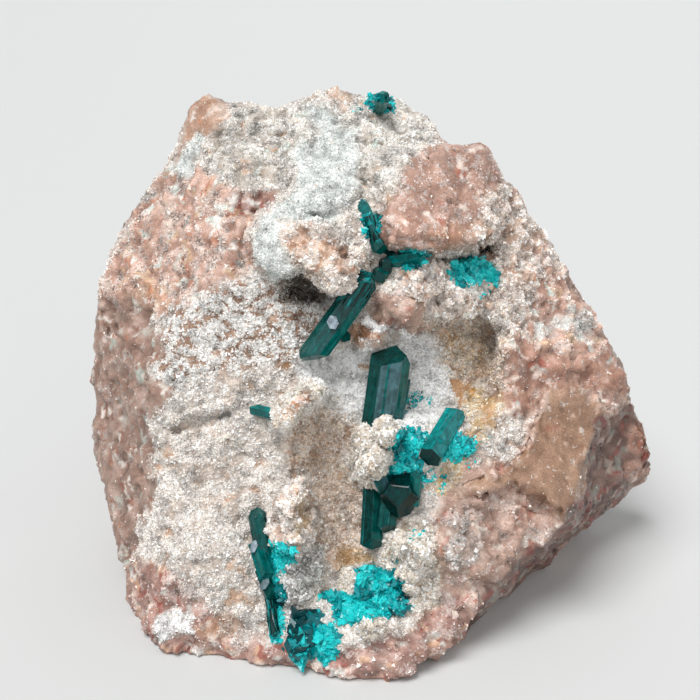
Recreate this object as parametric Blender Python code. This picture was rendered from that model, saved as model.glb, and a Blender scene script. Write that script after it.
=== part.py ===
"""Dioptase on matrix: emerald-green prisms and crusts grown on a hand-sized chunk of rock.

The rock stands on a flat broken base. Its show face leans back and looks a little upwards,
with ledges, a hollow, knobs and cracks, and the dioptase sits along the hollow.

Everything on the show face is placed on a sight plane, a plane square to the gaze of someone
who looks down at the standing rock from EYE. On it a runs across and b runs up, in
millimetres, and w is the height towards the eye, so a place keeps its position in the view
whatever its height is.
"""

import math
import random

import bmesh
import bpy
import numpy as np
from mathutils import Matrix, Vector, noise

MM = 0.001

# The eye: how far it is from the sight plane, how high over the table, and its downward gaze
EYE_TO_PLANE = 125.0
EYE_HEIGHT = 78.0
EYE_PITCH = math.radians(20.0)
EYE = np.array((-4.2, -129.2, EYE_HEIGHT))
GAZE = np.array((0.0, math.cos(EYE_PITCH), -math.sin(EYE_PITCH)))
ACROSS = np.array((1.0, 0.0, 0.0))
UPWARD = np.array((0.0, math.sin(EYE_PITCH), math.cos(EYE_PITCH)))

# The rock: its middle on the sight plane, and how its two halves and their edges are shaped
ROCK_CENTRE = (1.3, -5.1)
FRONT_SHARE = 0.58
FRONT_LOWEST = -21.0
EDGE_SOFTNESS = 0.9
LUMP_FULLNESS = 1.25
BACK_HEIGHT = -39.0
BACK_BEHIND_RIM = 4.0
BACK_FULLNESS = 4
BACK_NARROWING = 2.2
BACK_ROUNDING = math.radians(28.0)
ROUNDING_STEPS = 9
BACK_ROUGHNESS = 1.9
BACK_ROUGHENING = 4.0

# How fine the rock is, how far it reaches below the table before its base is cut, and the cut
SPHERE_DIVISIONS = 7
ROCK_TRIANGLES = 5500
SINK = 0.8
LEAST_DROP = 0.05
BASE_TOLERANCE = 0.01

# The dioptase: its gap to the rock, the slope and turn of its end faces, and how fine it is
CLEARANCE = 0.3
TIP_SLOPE = math.radians(48.0)
TIP_TURN = 0.03
TIP_TOLERANCE = 0.0001
CRYSTAL_THINNING = 0.66

# A crust of small crystals: the turn from one to the next, the share of its patch that they
# fill, how far their roots draw in, and their lean, rise and width as shares of their size
GOLDEN_TURN = math.radians(137.5)
TURN_SCATTER = 0.3
CRUST_FILL = 0.85
ROOT_DRAWN_IN = 0.2
ROOT_SINK = 0.2
LEAN_RANGE = (0.25, 0.75)
RISE_RANGE = (0.35, 0.6)
WIDTH_RANGE = (0.75, 1.0)

# The low dome under a crust: its sides, and its foot and top as shares of the crust's radii
DOME_SIDES = 7
DOME_FOOT = 1.1
DOME_TOP = 0.6

# Colour and roughness of the two materials
ROCK_FINISH = ((0.62, 0.47, 0.38), 0.8)
DIOPTASE_FINISH = ((0.0, 0.30, 0.24), 0.12)

ROCK_OUTLINE = (
    (-19.4, 31.5), (-18.1, 32.0), (-15.6, 31.2), (-13.1, 31.2), (-11.0, 30.1), (-9.1, 29.9),
    (-7.5, 30.6), (-5.0, 31.5), (-3.4, 32.8), (-2.1, 33.2), (-0.4, 32.8), (1.2, 31.6),
    (3.8, 31.2), (6.2, 31.0), (8.1, 29.8), (9.4, 28.8), (10.9, 26.9), (11.5, 25.5),
    (14.4, 25.5), (16.9, 25.9), (17.5, 25.0), (18.4, 23.1), (19.1, 21.2), (21.2, 19.4),
    (21.9, 16.9), (22.9, 15.0), (24.4, 14.1), (26.6, 10.0), (29.1, 6.2), (31.9, 1.9),
    (33.8, -1.2), (34.8, -3.5), (35.0, -6.2), (36.9, -10.6), (37.8, -12.5), (37.9, -15.0),
    (36.9, -16.2), (35.2, -16.9), (31.9, -20.6), (28.8, -22.5), (26.2, -24.4), (24.4, -26.9),
    (21.5, -29.8), (17.5, -31.9), (16.2, -33.8), (15.0, -35.9), (13.5, -37.0), (11.2, -38.1),
    (10.0, -39.4), (6.2, -40.6), (3.8, -41.5), (0.0, -42.1), (-1.9, -41.1), (-5.9, -40.2),
    (-10.5, -39.9), (-15.6, -39.0), (-21.5, -38.2), (-24.0, -37.5), (-25.8, -36.5),
    (-27.5, -35.5), (-28.2, -34.4), (-28.2, -31.5), (-27.5, -28.4), (-28.9, -25.5),
    (-29.6, -20.4), (-31.1, -15.1), (-32.0, -12.8), (-31.6, -6.6), (-32.1, -5.0),
    (-31.5, 0.2), (-32.0, 1.6), (-31.6, 4.2), (-31.5, 6.9), (-30.6, 9.8), (-29.8, 12.5),
    (-28.8, 14.2), (-26.8, 17.9), (-24.6, 21.0), (-23.0, 22.8), (-22.4, 24.1), (-21.4, 26.8),
    (-20.6, 29.4),
)

# Broken faces of the front: a place on each, its height there, and its slopes across and up
FRONT_FACES = {
    "show_face": ((0.0, 0.0), 1.5, 0.06, -0.03),
    "left_side": ((-24.6, -8.0), 1.0, 2.4, 0.05),
    "left_shoulder": ((-26.8, 17.9), -15.0, 1.1, -0.6),
    "top_slope": ((-4.0, 31.0), -10.0, 0.0, -0.70),
    "right_shoulder": ((26.6, 10.0), -13.0, -0.92, -0.60),
    "smooth_break": ((16.0, -11.0), 1.2, -0.62, -0.22),
    "right_underside": ((19.9, -28.5), 1.0, -5.6, 5.7),
}

# Broken faces of the back, given the same way
BACK_FACES = {
    "back": ((0.0, 0.0), BACK_HEIGHT, 0.10, 0.05),
    "back_top": ((0.0, 14.0), BACK_HEIGHT, -0.15, 0.95),
    "back_left": ((-15.0, 0.0), BACK_HEIGHT, -0.85, 0.20),
    "back_right": ((20.0, 0.0), BACK_HEIGHT, 0.75, -0.20),
}

# Raised or sunken patches with a steep edge: outline, height and width of the edge
PLATEAUS = {
    "round_ledge": (
        ((-11.2, 16.0), (-12.2, 13.8), (-11.5, 11.0), (-9.8, 9.4), (-8.1, 8.8), (-6.2, 10.4),
         (-4.4, 9.6), (-2.5, 7.5), (-0.6, 7.1), (1.6, 9.0), (2.4, 12.0), (3.0, 15.0),
         (3.8, 20.6), (5.0, 25.0), (2.0, 30.0), (-3.0, 31.0), (-7.4, 27.5), (-8.0, 19.6)),
        3.0, 1.8,
    ),
    "pink_plate": (
        ((3.8, 20.6), (5.0, 25.0), (11.5, 26.4), (17.2, 26.6), (19.4, 23.1), (19.2, 18.8),
         (18.2, 14.8), (16.2, 13.6), (15.0, 12.7), (11.2, 12.4), (8.1, 12.0), (6.2, 12.9),
         (4.8, 14.0), (4.0, 17.0)),
        4.6, 1.4,
    ),
    "upper_field": (
        ((-23.6, -9.4), (-20.0, -8.1), (-16.9, -7.5), (-14.2, -6.4), (-11.0, -4.5),
         (-7.0, -1.0), (-6.5, 4.5), (-13.0, 9.0), (-24.0, 6.0), (-25.0, -3.0)),
        1.2, 3.0,
    ),
    "vug": (
        ((6.0, 0.6), (8.0, 3.6), (10.4, 4.4), (13.0, 4.0), (15.8, 4.8), (17.9, 3.1),
         (18.4, 0.2), (18.0, -2.8), (17.0, -6.0), (14.2, -9.6), (10.6, -9.4), (7.6, -8.0),
         (5.2, -6.0), (3.4, -2.0)),
        -5.6, 2.2,
    ),
    "sand_hollow": (
        ((-1.6, -7.0), (1.8, -10.0), (3.0, -16.2), (2.2, -23.4), (1.6, -28.2), (-1.0, -28.8),
         (-3.6, -26.4), (-5.0, -21.2), (-5.6, -15.4), (-4.6, -9.6)),
        -3.2, 5.0,
    ),
    "dark_block": (
        ((28.0, -21.6), (28.6, -18.0), (30.4, -13.4), (31.8, -9.2), (34.6, -5.4), (38.8, -8.8),
         (39.4, -16.2), (33.8, -22.4)),
        -5.0, 1.6,
    ),
    "prism_floor": (
        ((-4.5, 1.5), (-2.0, 2.5), (2.0, 0.5), (5.5, 1.8), (5.6, -8.5), (2.0, -8.5),
         (-3.0, -5.0)),
        -2.2, 5.0,
    ),
}

# Lumps and pits: centre, radii across and up, turn in degrees, and height
LUMPS = {
    "bottom_bulge": ((3.0, -38.0), (17.0, 9.0), 0.0, 3.4),
    "cavity_under_ledge": ((-5.6, 7.6), (2.9, 2.0), -10.0, -4.2),
    "plate_end_hole": ((17.0, 12.9), (1.4, 1.2), 30.0, -4.5),
    "lump_over_vug": ((8.8, 8.8), (3.3, 3.0), 20.0, 3.4),
    "lump_right_of_vug": ((13.6, 6.8), (3.0, 2.6), 0.0, 3.2),
    "pink_lump": ((6.5, 5.2), (4.4, 3.4), -20.0, 2.6),
    "orange_blob": ((2.6, 1.9), (2.5, 1.6), 0.0, 2.4),
    "rim_knob_high": ((21.0, 6.2), (3.2, 2.6), 40.0, 1.6),
    "rim_knob_low": ((20.4, 0.4), (2.0, 4.2), 15.0, 1.5),
    "rim_knob_top": ((20.4, 13.0), (2.6, 2.4), 0.0, 1.5),
    "druse_lump_middle": ((2.9, -14.0), (3.2, 3.0), 0.0, 3.6),
    "druse_lump_foot": ((4.6, -10.2), (2.1, 1.8), 0.0, 3.4),
    "druse_lump_side": ((9.6, -12.0), (1.8, 1.6), 0.0, 1.4),
    "druse_lump_low": ((7.6, -25.6), (3.8, 4.6), -25.0, 3.2),
    "druse_lump_bottom": ((0.6, -29.4), (1.8, 1.4), 0.0, 1.8),
    "druse_lump_base": ((2.6, -34.4), (2.0, 1.5), 0.0, 1.4),
    "quartz_lump_high": ((-8.0, -27.8), (2.3, 2.0), 0.0, 2.0),
    "quartz_lump_low": ((-6.2, -30.4), (2.2, 1.9), 20.0, 2.0),
    "upper_pocket": ((-11.5, 18.0), (2.8, 2.0), -20.0, -1.8),
    "top_left_horn": ((-18.2, 29.6), (4.4, 4.6), -30.0, 3.6),
    "plate_corner": ((16.6, 24.6), (3.4, 2.6), 0.0, 2.0),
    "chalk_swell": ((-3.6, 20.0), (4.2, 5.0), 0.0, 1.4),
    "nose": ((26.0, -18.0), (5.0, 5.4), 35.0, 2.6),
    "pink_hump_right": ((13.5, -24.5), (4.4, 5.0), -30.0, 1.8),
    "left_low_swell": ((-17.5, -24.0), (7.0, 9.0), 0.0, 1.6),
    "mid_field_dip": ((-11.5, -13.0), (7.0, 4.0), 20.0, -1.2),
}

# Ridges and cracks: the line they follow, half their width, and height
RIDGES = {
    "finger_knob": (((-9.0, -9.0), (-7.0, -7.4), (-3.8, -4.4)), 1.7, 2.8),
    "finger_crevice": (((-6.4, -10.0), (-3.2, -6.6)), 1.1, -1.4),
    "tan_ridge": (((-6.4, -17.0), (-7.6, -20.6), (-6.2, -24.4), (-4.4, -26.4)), 2.2, 4.0),
    "step_shadow": (((-23.4, -10.2), (-20.0, -9.0), (-16.9, -8.4), (-14.4, -7.6)), 1.2, -1.1),
    "plate_crack": (((5.0, 12.6), (8.6, 11.4), (12.6, 11.7), (16.2, 12.7)), 1.0, -3.4),
    "vug_lip": (((16.4, 6.6), (18.8, 3.8), (19.4, 0.4), (19.0, -3.0)), 1.4, 1.8),
    "nose_crease": (((19.6, -15.4), (21.4, -17.4), (24.2, -19.6)), 1.3, -2.0),
    "side_crevice": (((-31.0, 6.0), (-29.6, 3.6), (-29.2, 2.0)), 1.3, -3.2),
    "ledge_notch": (((-8.2, 10.2), (-6.6, 12.4)), 0.9, -1.2),
    "shelf_left_of_prism": (((-6.8, 2.2), (-6.4, -1.2), (-3.4, -3.4)), 2.0, 0.8),
}

# Rough grain of the broken rock: size of the lumps and their height
ROUGHNESS = ((15.0, 1.1), (6.5, 0.75), (3.0, 0.18))
ROUGHNESS_SEED = Vector((31.7, 12.3, 5.9))

# How far the edges of the relief waver, and over what length
WAVER = 1.1
WAVER_SIZE = 3.6
WAVER_LAYERS = (7.7, 23.4)

# Single prisms: both ends as across, up and lift, then the width, flatness and turn
PRISMS = {
    "centre_prism": (
        ((3.6, -9.9, 0.6), (4.9, 0.9, 3.0), 5.2, 0.85, 0.06),
        ((6.2, -8.6, 0.6), (7.1, -3.2, 2.2), 1.9, 1.0, 0.3),
    ),
    "long_prism": (
        ((2.7, 8.6, 0.6), (-2.2, 3.0, 1.6), 2.9, 0.9, 0.2),
        ((0.2, 5.6, 0.9), (-5.6, -1.0, 1.6), 3.5, 0.9, 0.1),
        ((-1.6, 3.6, 0.6), (0.1, 1.0, 1.2), 1.7, 1.0, 0.2),
    ),
    "slanted_prism": (
        ((9.9, -14.6, 0.8), (14.0, -7.2, 5.4), 3.0, 0.9, 0.2),
        ((11.6, -12.8, 0.6), (14.8, -11.0, 2.4), 1.9, 1.0, 0.5),
        ((11.6, -12.2, 0.4), (15.0, -12.8, 2.0), 1.7, 1.0, 0.2),
    ),
    "vein_crystals": (
        ((2.6, 14.2, 0.6), (1.2, 18.9, 1.6), 1.8, 1.0, 0.1),
        ((3.0, 14.2, 0.2), (3.9, 17.2, 1.4), 1.6, 1.0, 0.4),
        ((2.8, 16.2, 0.6), (3.4, 11.8, 1.4), 2.3, 1.0, 0.2),
        ((3.0, 13.4, 0.4), (6.2, 12.2, 1.6), 2.2, 1.0, 0.3),
        ((5.6, 12.4, 0.6), (3.8, 10.4, 1.6), 1.9, 1.0, 0.1),
        ((6.6, 11.6, 0.4), (2.8, 8.9, 1.5), 2.2, 1.0, 0.4),
        ((5.4, 10.8, 0.4), (9.6, 11.8, 1.5), 2.2, 1.0, 0.2),
        ((6.2, 11.4, 0.4), (7.8, 9.9, 1.6), 1.8, 1.0, 0.5),
    ),
    "blade_crystals": (
        ((-11.0, -26.2, 0.4), (-11.9, -20.0, 1.3), 2.2, 1.0, 0.1),
        ((-11.7, -23.4, 0.5), (-10.3, -31.2, 1.3), 2.0, 1.0, 0.4),
        ((-10.6, -28.0, 0.4), (-9.1, -34.0, 1.3), 2.2, 1.0, 0.2),
        ((-9.7, -32.0, 0.4), (-9.2, -37.2, 1.0), 1.5, 1.0, 0.3),
        ((-10.8, -25.6, 0.2), (-6.4, -25.8, 1.3), 1.9, 1.0, 0.3),
        ((-9.6, -26.2, 0.2), (-7.6, -24.4, 1.4), 1.5, 1.0, 0.6),
    ),
    "druse_crystals": (
        ((4.9, -15.8, 0.6), (2.3, -24.4, 1.6), 2.7, 1.0, 0.3),
        ((6.8, -15.4, 0.6), (6.7, -21.2, 2.0), 4.4, 0.9, 0.1),
        ((5.6, -17.0, 0.4), (4.2, -23.0, 1.4), 2.2, 1.0, 0.1),
    ),
    "crown_crystals": (
        ((3.0, 30.0, -0.4), (2.6, 31.6, 1.6), 2.0, 1.0, 0.1),
        ((3.8, 29.8, -0.4), (4.4, 31.6, 1.8), 2.4, 1.0, 0.3),
        ((4.6, 29.4, -0.4), (5.6, 30.2, 1.6), 1.9, 1.0, 0.5),
    ),
    "tiny_crystal": (
        ((-12.6, -7.5, 0.5), (-9.0, -8.3, 0.7), 1.3, 1.0, 0.2),
    ),
}

# Crusts of small crystals: centre, radii, lift, how many, their size, and a seed
CRUSTS = {
    "druse_crystals": (
        ((8.3, -11.6), (1.5, 1.1), 1.0, 3, 1.9, 11),
        ((7.1, -13.2), (2.0, 1.6), 1.1, 4, 2.0, 12),
        ((7.8, -15.2), (2.0, 2.2), 1.1, 3, 2.1, 13),
    ),
    "ledge_crystals": (((15.5, 10.0), (3.1, 1.9), 1.0, 7, 2.2, 21),),
    "low_druse": (
        ((4.0, -30.4), (3.2, 3.0), 1.1, 7, 2.5, 31),
        ((0.2, -32.4), (2.2, 1.7), 1.0, 3, 2.1, 32),
        ((-2.2, -31.2), (2.0, 0.8), 0.8, 2, 1.4, 33),
    ),
    "low_fan": (
        ((-5.5, -35.8), (1.8, 3.0), 1.1, 5, 2.3, 41),
        ((-3.1, -36.8), (1.6, 2.6), 1.0, 3, 2.1, 42),
    ),
    "slanted_prism": (((13.4, -12.2), (1.8, 1.4), 0.8, 3, 1.6, 51),),
}


def clear_scene():
    for obj in list(bpy.data.objects):
        bpy.data.objects.remove(obj, do_unlink=True)


def material(name, colour, roughness):
    """A plain Principled material in the part's own colour."""
    made = bpy.data.materials.new(name)
    made.use_nodes = True
    made.diffuse_color = (*colour, 1.0)
    shader = made.node_tree.nodes["Principled BSDF"]
    shader.inputs["Base Color"].default_value = (*colour, 1.0)
    shader.inputs["Roughness"].default_value = roughness
    shader.inputs["Metallic"].default_value = 0.0
    return made


def new_object(name, mesh, finish):
    obj = bpy.data.objects.new(name, mesh)
    obj.data.materials.append(finish)
    bpy.context.collection.objects.link(obj)
    return obj


def sight_to_space(a, b, w):
    """Points in space, in millimetres, for places and heights on the sight plane."""
    a, b, w = np.broadcast_arrays(a, b, w)
    ray = (
        GAZE
        + (a / EYE_TO_PLANE)[..., None] * ACROSS
        + (b / EYE_TO_PLANE)[..., None] * UPWARD
    )
    return EYE + (EYE_TO_PLANE - w)[..., None] * ray


def table_height(b, below):
    """The height w at which each line of sight meets the level that far below the table."""
    drop = math.sin(EYE_PITCH) - b / EYE_TO_PLANE * math.cos(EYE_PITCH)
    return EYE_TO_PLANE - (EYE_HEIGHT + below) / np.maximum(drop, LEAST_DROP)


def smooth_step(x):
    x = np.clip(x, 0.0, 1.0)
    return x * x * (3.0 - 2.0 * x)


def distance_to_line(a, b, points, closed=False):
    """Distance of each place to a broken line through the points."""
    ends = list(zip(points, points[1:]))
    if closed:
        ends.append((points[-1], points[0]))
    nearest = np.full(np.shape(a), np.inf)
    for (a0, b0), (a1, b1) in ends:
        da, db = a1 - a0, b1 - b0
        along = np.clip(((a - a0) * da + (b - b0) * db) / (da * da + db * db), 0.0, 1.0)
        nearest = np.minimum(nearest, np.hypot(a - a0 - along * da, b - b0 - along * db))
    return nearest


def inside(a, b, outline):
    """Whether each place lies inside the outline, by counting crossings."""
    found = np.zeros(np.shape(a), bool)
    for (a0, b0), (a1, b1) in zip(outline, outline[1:] + outline[:1]):
        if b0 == b1:
            continue
        crossing = a0 + (b - b0) * (a1 - a0) / (b1 - b0)
        found ^= ((b0 > b) != (b1 > b)) & (a < crossing)
    return found


def plateau(a, b, outline, height, edge):
    apart = distance_to_line(a, b, outline, closed=True)
    signed = np.where(inside(a, b, outline), apart, -apart)
    return height * smooth_step(0.5 + signed / edge)


def lump(a, b, centre, radii, turn, height):
    turn = math.radians(turn)
    da, db = a - centre[0], b - centre[1]
    along = (da * math.cos(turn) + db * math.sin(turn)) / radii[0]
    over = (db * math.cos(turn) - da * math.sin(turn)) / radii[1]
    return height * smooth_step(LUMP_FULLNESS * (1.0 - np.hypot(along, over)))


def ridge(a, b, line, half_width, height):
    return height * smooth_step(1.0 - distance_to_line(a, b, line) / half_width)


def faces_at(a, b, faces):
    return [
        height + across * (a - at[0]) + up * (b - at[1])
        for at, height, across, up in faces.values()
    ]


def waver(a, b, layer):
    """How far each place is moved to make the edges run raggedly."""
    spots = np.stack((np.ravel(a), np.ravel(b)), axis=1) / WAVER_SIZE
    moved = [noise.noise(Vector((x, y, layer))) for x, y in spots]
    return WAVER * np.array(moved).reshape(np.shape(a))


def front_height(a, b):
    """Height of the show face: its broken faces, rounded where they meet, and all its relief."""
    a, b = np.asarray(a, float), np.asarray(b, float)
    a, b = a + waver(a, b, WAVER_LAYERS[0]), b + waver(a, b, WAVER_LAYERS[1])
    fall = sum(np.exp(-face / EDGE_SOFTNESS) for face in faces_at(a, b, FRONT_FACES))
    height = np.maximum(-EDGE_SOFTNESS * np.log(fall), FRONT_LOWEST)
    for values in PLATEAUS.values():
        height = height + plateau(a, b, *values)
    for values in LUMPS.values():
        height = height + lump(a, b, *values)
    for values in RIDGES.values():
        height = height + ridge(a, b, *values)
    return height


def back_height(a, b):
    return np.maximum.reduce(faces_at(a, b, BACK_FACES))


def outline_reach(angle):
    """How far the rock's outline lies from its centre in each direction of the sight plane."""
    points = np.array(ROCK_OUTLINE) - ROCK_CENTRE
    angles = np.arctan2(points[:, 1], points[:, 0])
    order = np.argsort(angles)
    return np.interp(
        angle, angles[order], np.hypot(points[:, 0], points[:, 1])[order], period=2 * math.pi
    )


def back_reach(angle):
    """The outline's reach on the back of the rock: rounder, and never past the front's."""
    turns = np.linspace(-BACK_ROUNDING, BACK_ROUNDING, ROUNDING_STEPS)
    least = [
        np.minimum.reduce([outline_reach(angle + turn + more) for more in turns])
        for turn in turns
    ]
    return np.mean(least, axis=0)


def roughness_at(point):
    """How far the broken surface stands out or in at a point, in millimetres."""
    return sum(
        height * noise.noise(Vector(point) / size + ROUGHNESS_SEED)
        for size, height in ROUGHNESS
    )


def shape_rock(mesh):
    """Moves the vertices of a unit sphere onto the rock, front half first, then the back."""
    count = len(mesh.vertices)
    ball = np.empty(count * 3)
    mesh.vertices.foreach_get("co", ball)
    ball = ball.reshape(-1, 3)
    angle = np.arctan2(ball[:, 2], ball[:, 0])
    share = (1.0 + ball[:, 1]) / 2.0
    front = share < FRONT_SHARE
    to_back = np.clip((share - FRONT_SHARE) / (1.0 - FRONT_SHARE), 0.0, 1.0)
    spread = np.where(
        front, np.sqrt(share / FRONT_SHARE), np.sqrt(np.clip(1.0 - to_back**2, 0.0, 1.0))
    )
    reach = outline_reach(angle)
    rim_a = ROCK_CENTRE[0] + reach * np.cos(angle)
    rim_b = ROCK_CENTRE[1] + reach * np.sin(angle)
    reach = reach + (back_reach(angle) - reach) * smooth_step(BACK_NARROWING * to_back)
    a = ROCK_CENTRE[0] + spread * reach * np.cos(angle)
    b = ROCK_CENTRE[1] + spread * reach * np.sin(angle)
    rim = front_height(rim_a, rim_b)
    depth_share = 1.0 - (1.0 - to_back) ** BACK_FULLNESS
    back = np.minimum(back_height(a, b), rim - BACK_BEHIND_RIM)
    behind = rim + (back - rim) * depth_share
    w = np.where(front, front_height(a, b), behind)
    rough = np.array([roughness_at(point) for point in sight_to_space(a, b, w)])
    w = w + rough * (1.0 + (BACK_ROUGHNESS - 1.0) * smooth_step(BACK_ROUGHENING * to_back))
    w = np.maximum(w, table_height(b, SINK))
    mesh.vertices.foreach_set("co", (sight_to_space(a, b, w) * MM).ravel())
    mesh.update()


def applied_mesh(obj):
    """The object's mesh with its modifiers applied."""
    graph = bpy.context.evaluated_depsgraph_get()
    mesh = bpy.data.meshes.new_from_object(obj.evaluated_get(graph))
    obj.modifiers.clear()
    obj.data = mesh
    return mesh


def cut_base(mesh):
    """Cuts the rock off flat where it stands on the table."""
    bm = bmesh.new()
    bm.from_mesh(mesh)
    cut = bmesh.ops.bisect_plane(
        bm,
        geom=bm.verts[:] + bm.edges[:] + bm.faces[:],
        dist=BASE_TOLERANCE * MM,
        plane_co=(0.0, 0.0, 0.0),
        plane_no=(0.0, 0.0, 1.0),
        clear_inner=True,
    )["geom_cut"]
    edges = [item for item in cut if isinstance(item, bmesh.types.BMEdge)]
    bmesh.ops.holes_fill(bm, edges=edges)
    bmesh.ops.triangulate(bm, faces=bm.faces[:])
    bmesh.ops.recalc_face_normals(bm, faces=bm.faces[:])
    bm.to_mesh(mesh)
    bm.free()


def make_rock():
    """The matrix: one chunk of quartz-veined rock with all its ledges, lumps and hollows."""
    bm = bmesh.new()
    bmesh.ops.create_icosphere(bm, subdivisions=SPHERE_DIVISIONS, radius=1.0)
    mesh = bpy.data.meshes.new("matrix")
    bm.to_mesh(mesh)
    bm.free()
    shape_rock(mesh)
    rock = new_object("matrix", mesh, material("rock_matrix", *ROCK_FINISH))
    thinning = rock.modifiers.new("thinning", "DECIMATE")
    thinning.ratio = ROCK_TRIANGLES / len(mesh.polygons)
    cut_base(applied_mesh(rock))
    return rock


def make_clearance(rock):
    """A hidden copy of the rock, grown by the gap that the crystals keep to it."""
    grown = bpy.data.objects.new("rock_clearance", rock.data.copy())
    bpy.context.collection.objects.link(grown)
    swell = grown.modifiers.new("swell", "DISPLACE")
    swell.mid_level = 0.0
    swell.strength = CLEARANCE * MM
    grown.hide_render = True
    grown.display_type = "WIRE"
    return grown


def on_face(a, b, lift):
    """A point that far above the show face, in metres."""
    return Vector(sight_to_space(a, b, float(front_height(a, b)) + lift) * MM)


def add_prism(bm, base, tip, width, flatness=1.0, turn=0.0, faces=3):
    """Adds a six-sided dioptase prism that ends in that many rhombohedral faces."""
    axis = tip - base
    side = Vector(GAZE).cross(axis).normalized()
    out = axis.normalized().cross(side)
    frame = Matrix((side, out, axis.normalized())).transposed().to_4x4()
    spin = Matrix.Rotation(turn, 4, "Z")
    stretch = Matrix.Diagonal((1.0, flatness, 1.0, 1.0))
    one = bmesh.new()
    bmesh.ops.create_cone(
        one,
        cap_ends=True,
        segments=6,
        radius1=width / 2.0,
        radius2=width / 2.0,
        depth=axis.length,
    )
    for step in range(faces):
        around = math.tau * (step / 3.0 + TIP_TURN)
        slope = Vector((math.cos(around), math.sin(around), 1.0 / math.tan(TIP_SLOPE)))
        cut = bmesh.ops.bisect_plane(
            one,
            geom=one.verts[:] + one.edges[:] + one.faces[:],
            dist=TIP_TOLERANCE * MM,
            plane_co=(0.0, 0.0, axis.length / 2.0),
            plane_no=slope,
            clear_outer=True,
        )["geom_cut"]
        edges = [item for item in cut if isinstance(item, bmesh.types.BMEdge)]
        bmesh.ops.contextual_create(one, geom=edges)
    place = Matrix.Translation((base + tip) / 2.0) @ frame @ stretch @ spin
    bmesh.ops.transform(one, matrix=place, verts=one.verts[:])
    bmesh.ops.recalc_face_normals(one, faces=one.faces[:])
    piece = bpy.data.meshes.new("prism")
    one.to_mesh(piece)
    one.free()
    bm.from_mesh(piece)
    bpy.data.meshes.remove(piece)


def add_root(bm, a, b, radii, lift):
    """Adds the low dome in which a crust of small crystals is rooted."""
    place = (
        Matrix.Translation(on_face(a, b, 0.0))
        @ Matrix.Rotation(math.pi / 2.0 - EYE_PITCH, 4, "X")
        @ Matrix.Diagonal((radii[0] * MM, radii[1] * MM, lift * MM, 1.0))
    )
    bmesh.ops.create_cone(
        bm,
        cap_ends=True,
        segments=DOME_SIDES,
        radius1=DOME_FOOT,
        radius2=DOME_TOP,
        depth=2.0,
        matrix=place,
    )


def add_crust(bm, centre, radii, lift, count, size, seed):
    """Adds a patch of small crystals that stand out all ways from a low dome."""
    rng = random.Random(seed)
    add_root(bm, *centre, radii, lift)
    for step in range(count):
        around = step * GOLDEN_TURN + rng.uniform(-TURN_SCATTER, TURN_SCATTER)
        out = math.sqrt((step + 0.5) / count) * CRUST_FILL
        a = centre[0] + radii[0] * out * math.cos(around)
        b = centre[1] + radii[1] * out * math.sin(around)
        lean = rng.uniform(*LEAN_RANGE) * size
        base = on_face(
            a + (centre[0] - a) * ROOT_DRAWN_IN, b + (centre[1] - b) * ROOT_DRAWN_IN, -ROOT_SINK
        )
        tip = on_face(a, b, lift + size * rng.uniform(*RISE_RANGE))
        tip += Vector(ACROSS) * (lean * out * math.cos(around) * MM)
        tip += Vector(UPWARD) * (lean * out * math.sin(around) * MM)
        width = size * rng.uniform(*WIDTH_RANGE) * MM
        add_prism(bm, base, tip, width, turn=rng.uniform(0.0, math.tau), faces=1)


def keep_largest_body(mesh):
    """Removes the slivers that a cut leaves beside the body itself."""
    bm = bmesh.new()
    bm.from_mesh(mesh)
    left = set(bm.verts)
    bodies = []
    while left:
        body = {left.pop()}
        edge = list(body)
        while edge:
            vert = edge.pop()
            near = {link.other_vert(vert) for link in vert.link_edges} - body
            body |= near
            edge.extend(near)
        left -= body
        bodies.append(body)
    bodies.sort(key=len)
    stray = [vert for body in bodies[:-1] for vert in body]
    bmesh.ops.delete(bm, geom=stray, context="VERTS")
    bm.to_mesh(mesh)
    bm.free()


def finish_crystals(name, bm, finish, clearance):
    """Makes one body of crystals that grew together, cut back from the rock by the gap."""
    mesh = bpy.data.meshes.new(name)
    bm.to_mesh(mesh)
    bm.free()
    crystals = new_object(name, mesh, finish)
    cut = crystals.modifiers.new("cut_from_rock", "BOOLEAN")
    cut.operation = "DIFFERENCE"
    cut.object = clearance
    cut.use_self = True
    thinning = crystals.modifiers.new("thinning", "DECIMATE")
    thinning.ratio = CRYSTAL_THINNING
    keep_largest_body(applied_mesh(crystals))


def prism_on_face(bm, base, tip, width, flatness=1.0, turn=0.0):
    """Adds a prism whose ends are given as across, up and lift over the show face."""
    add_prism(bm, on_face(*base), on_face(*tip), width * MM, flatness, turn)


def make_dioptase(clearance):
    """Every group of dioptase crystals, one node for each group that grew together."""
    finish = material("dioptase", *DIOPTASE_FINISH)
    for name in list(PRISMS) + [name for name in CRUSTS if name not in PRISMS]:
        bm = bmesh.new()
        for values in PRISMS.get(name, ()):
            prism_on_face(bm, *values)
        for values in CRUSTS.get(name, ()):
            add_crust(bm, *values)
        finish_crystals(name, bm, finish, clearance)


clear_scene()
rock = make_rock()
make_dioptase(make_clearance(rock))
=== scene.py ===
"""Dioptase on rock matrix: the finish of the specimen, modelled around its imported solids.

The rock gets a fine skin with the grounds that the broken and drusy surface shows, crusts of
small quartz crystals grow on it, and each group of dioptase is modelled crystal by crystal.

Places on the show face are given on a sight plane, square to the gaze of someone who looks
down at the standing rock: a runs across and b runs up, in millimetres, and w is the height
towards the eye. Each place is met with the rock's skin along the line of sight, so a thing
sits on the rock whatever the height there is.
"""

import itertools
import logging
import math
from dataclasses import dataclass, field
from enum import Enum

import bmesh
import bpy
import numpy as np
from mathutils import Matrix, Vector
from mathutils.bvhtree import BVHTree


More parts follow.
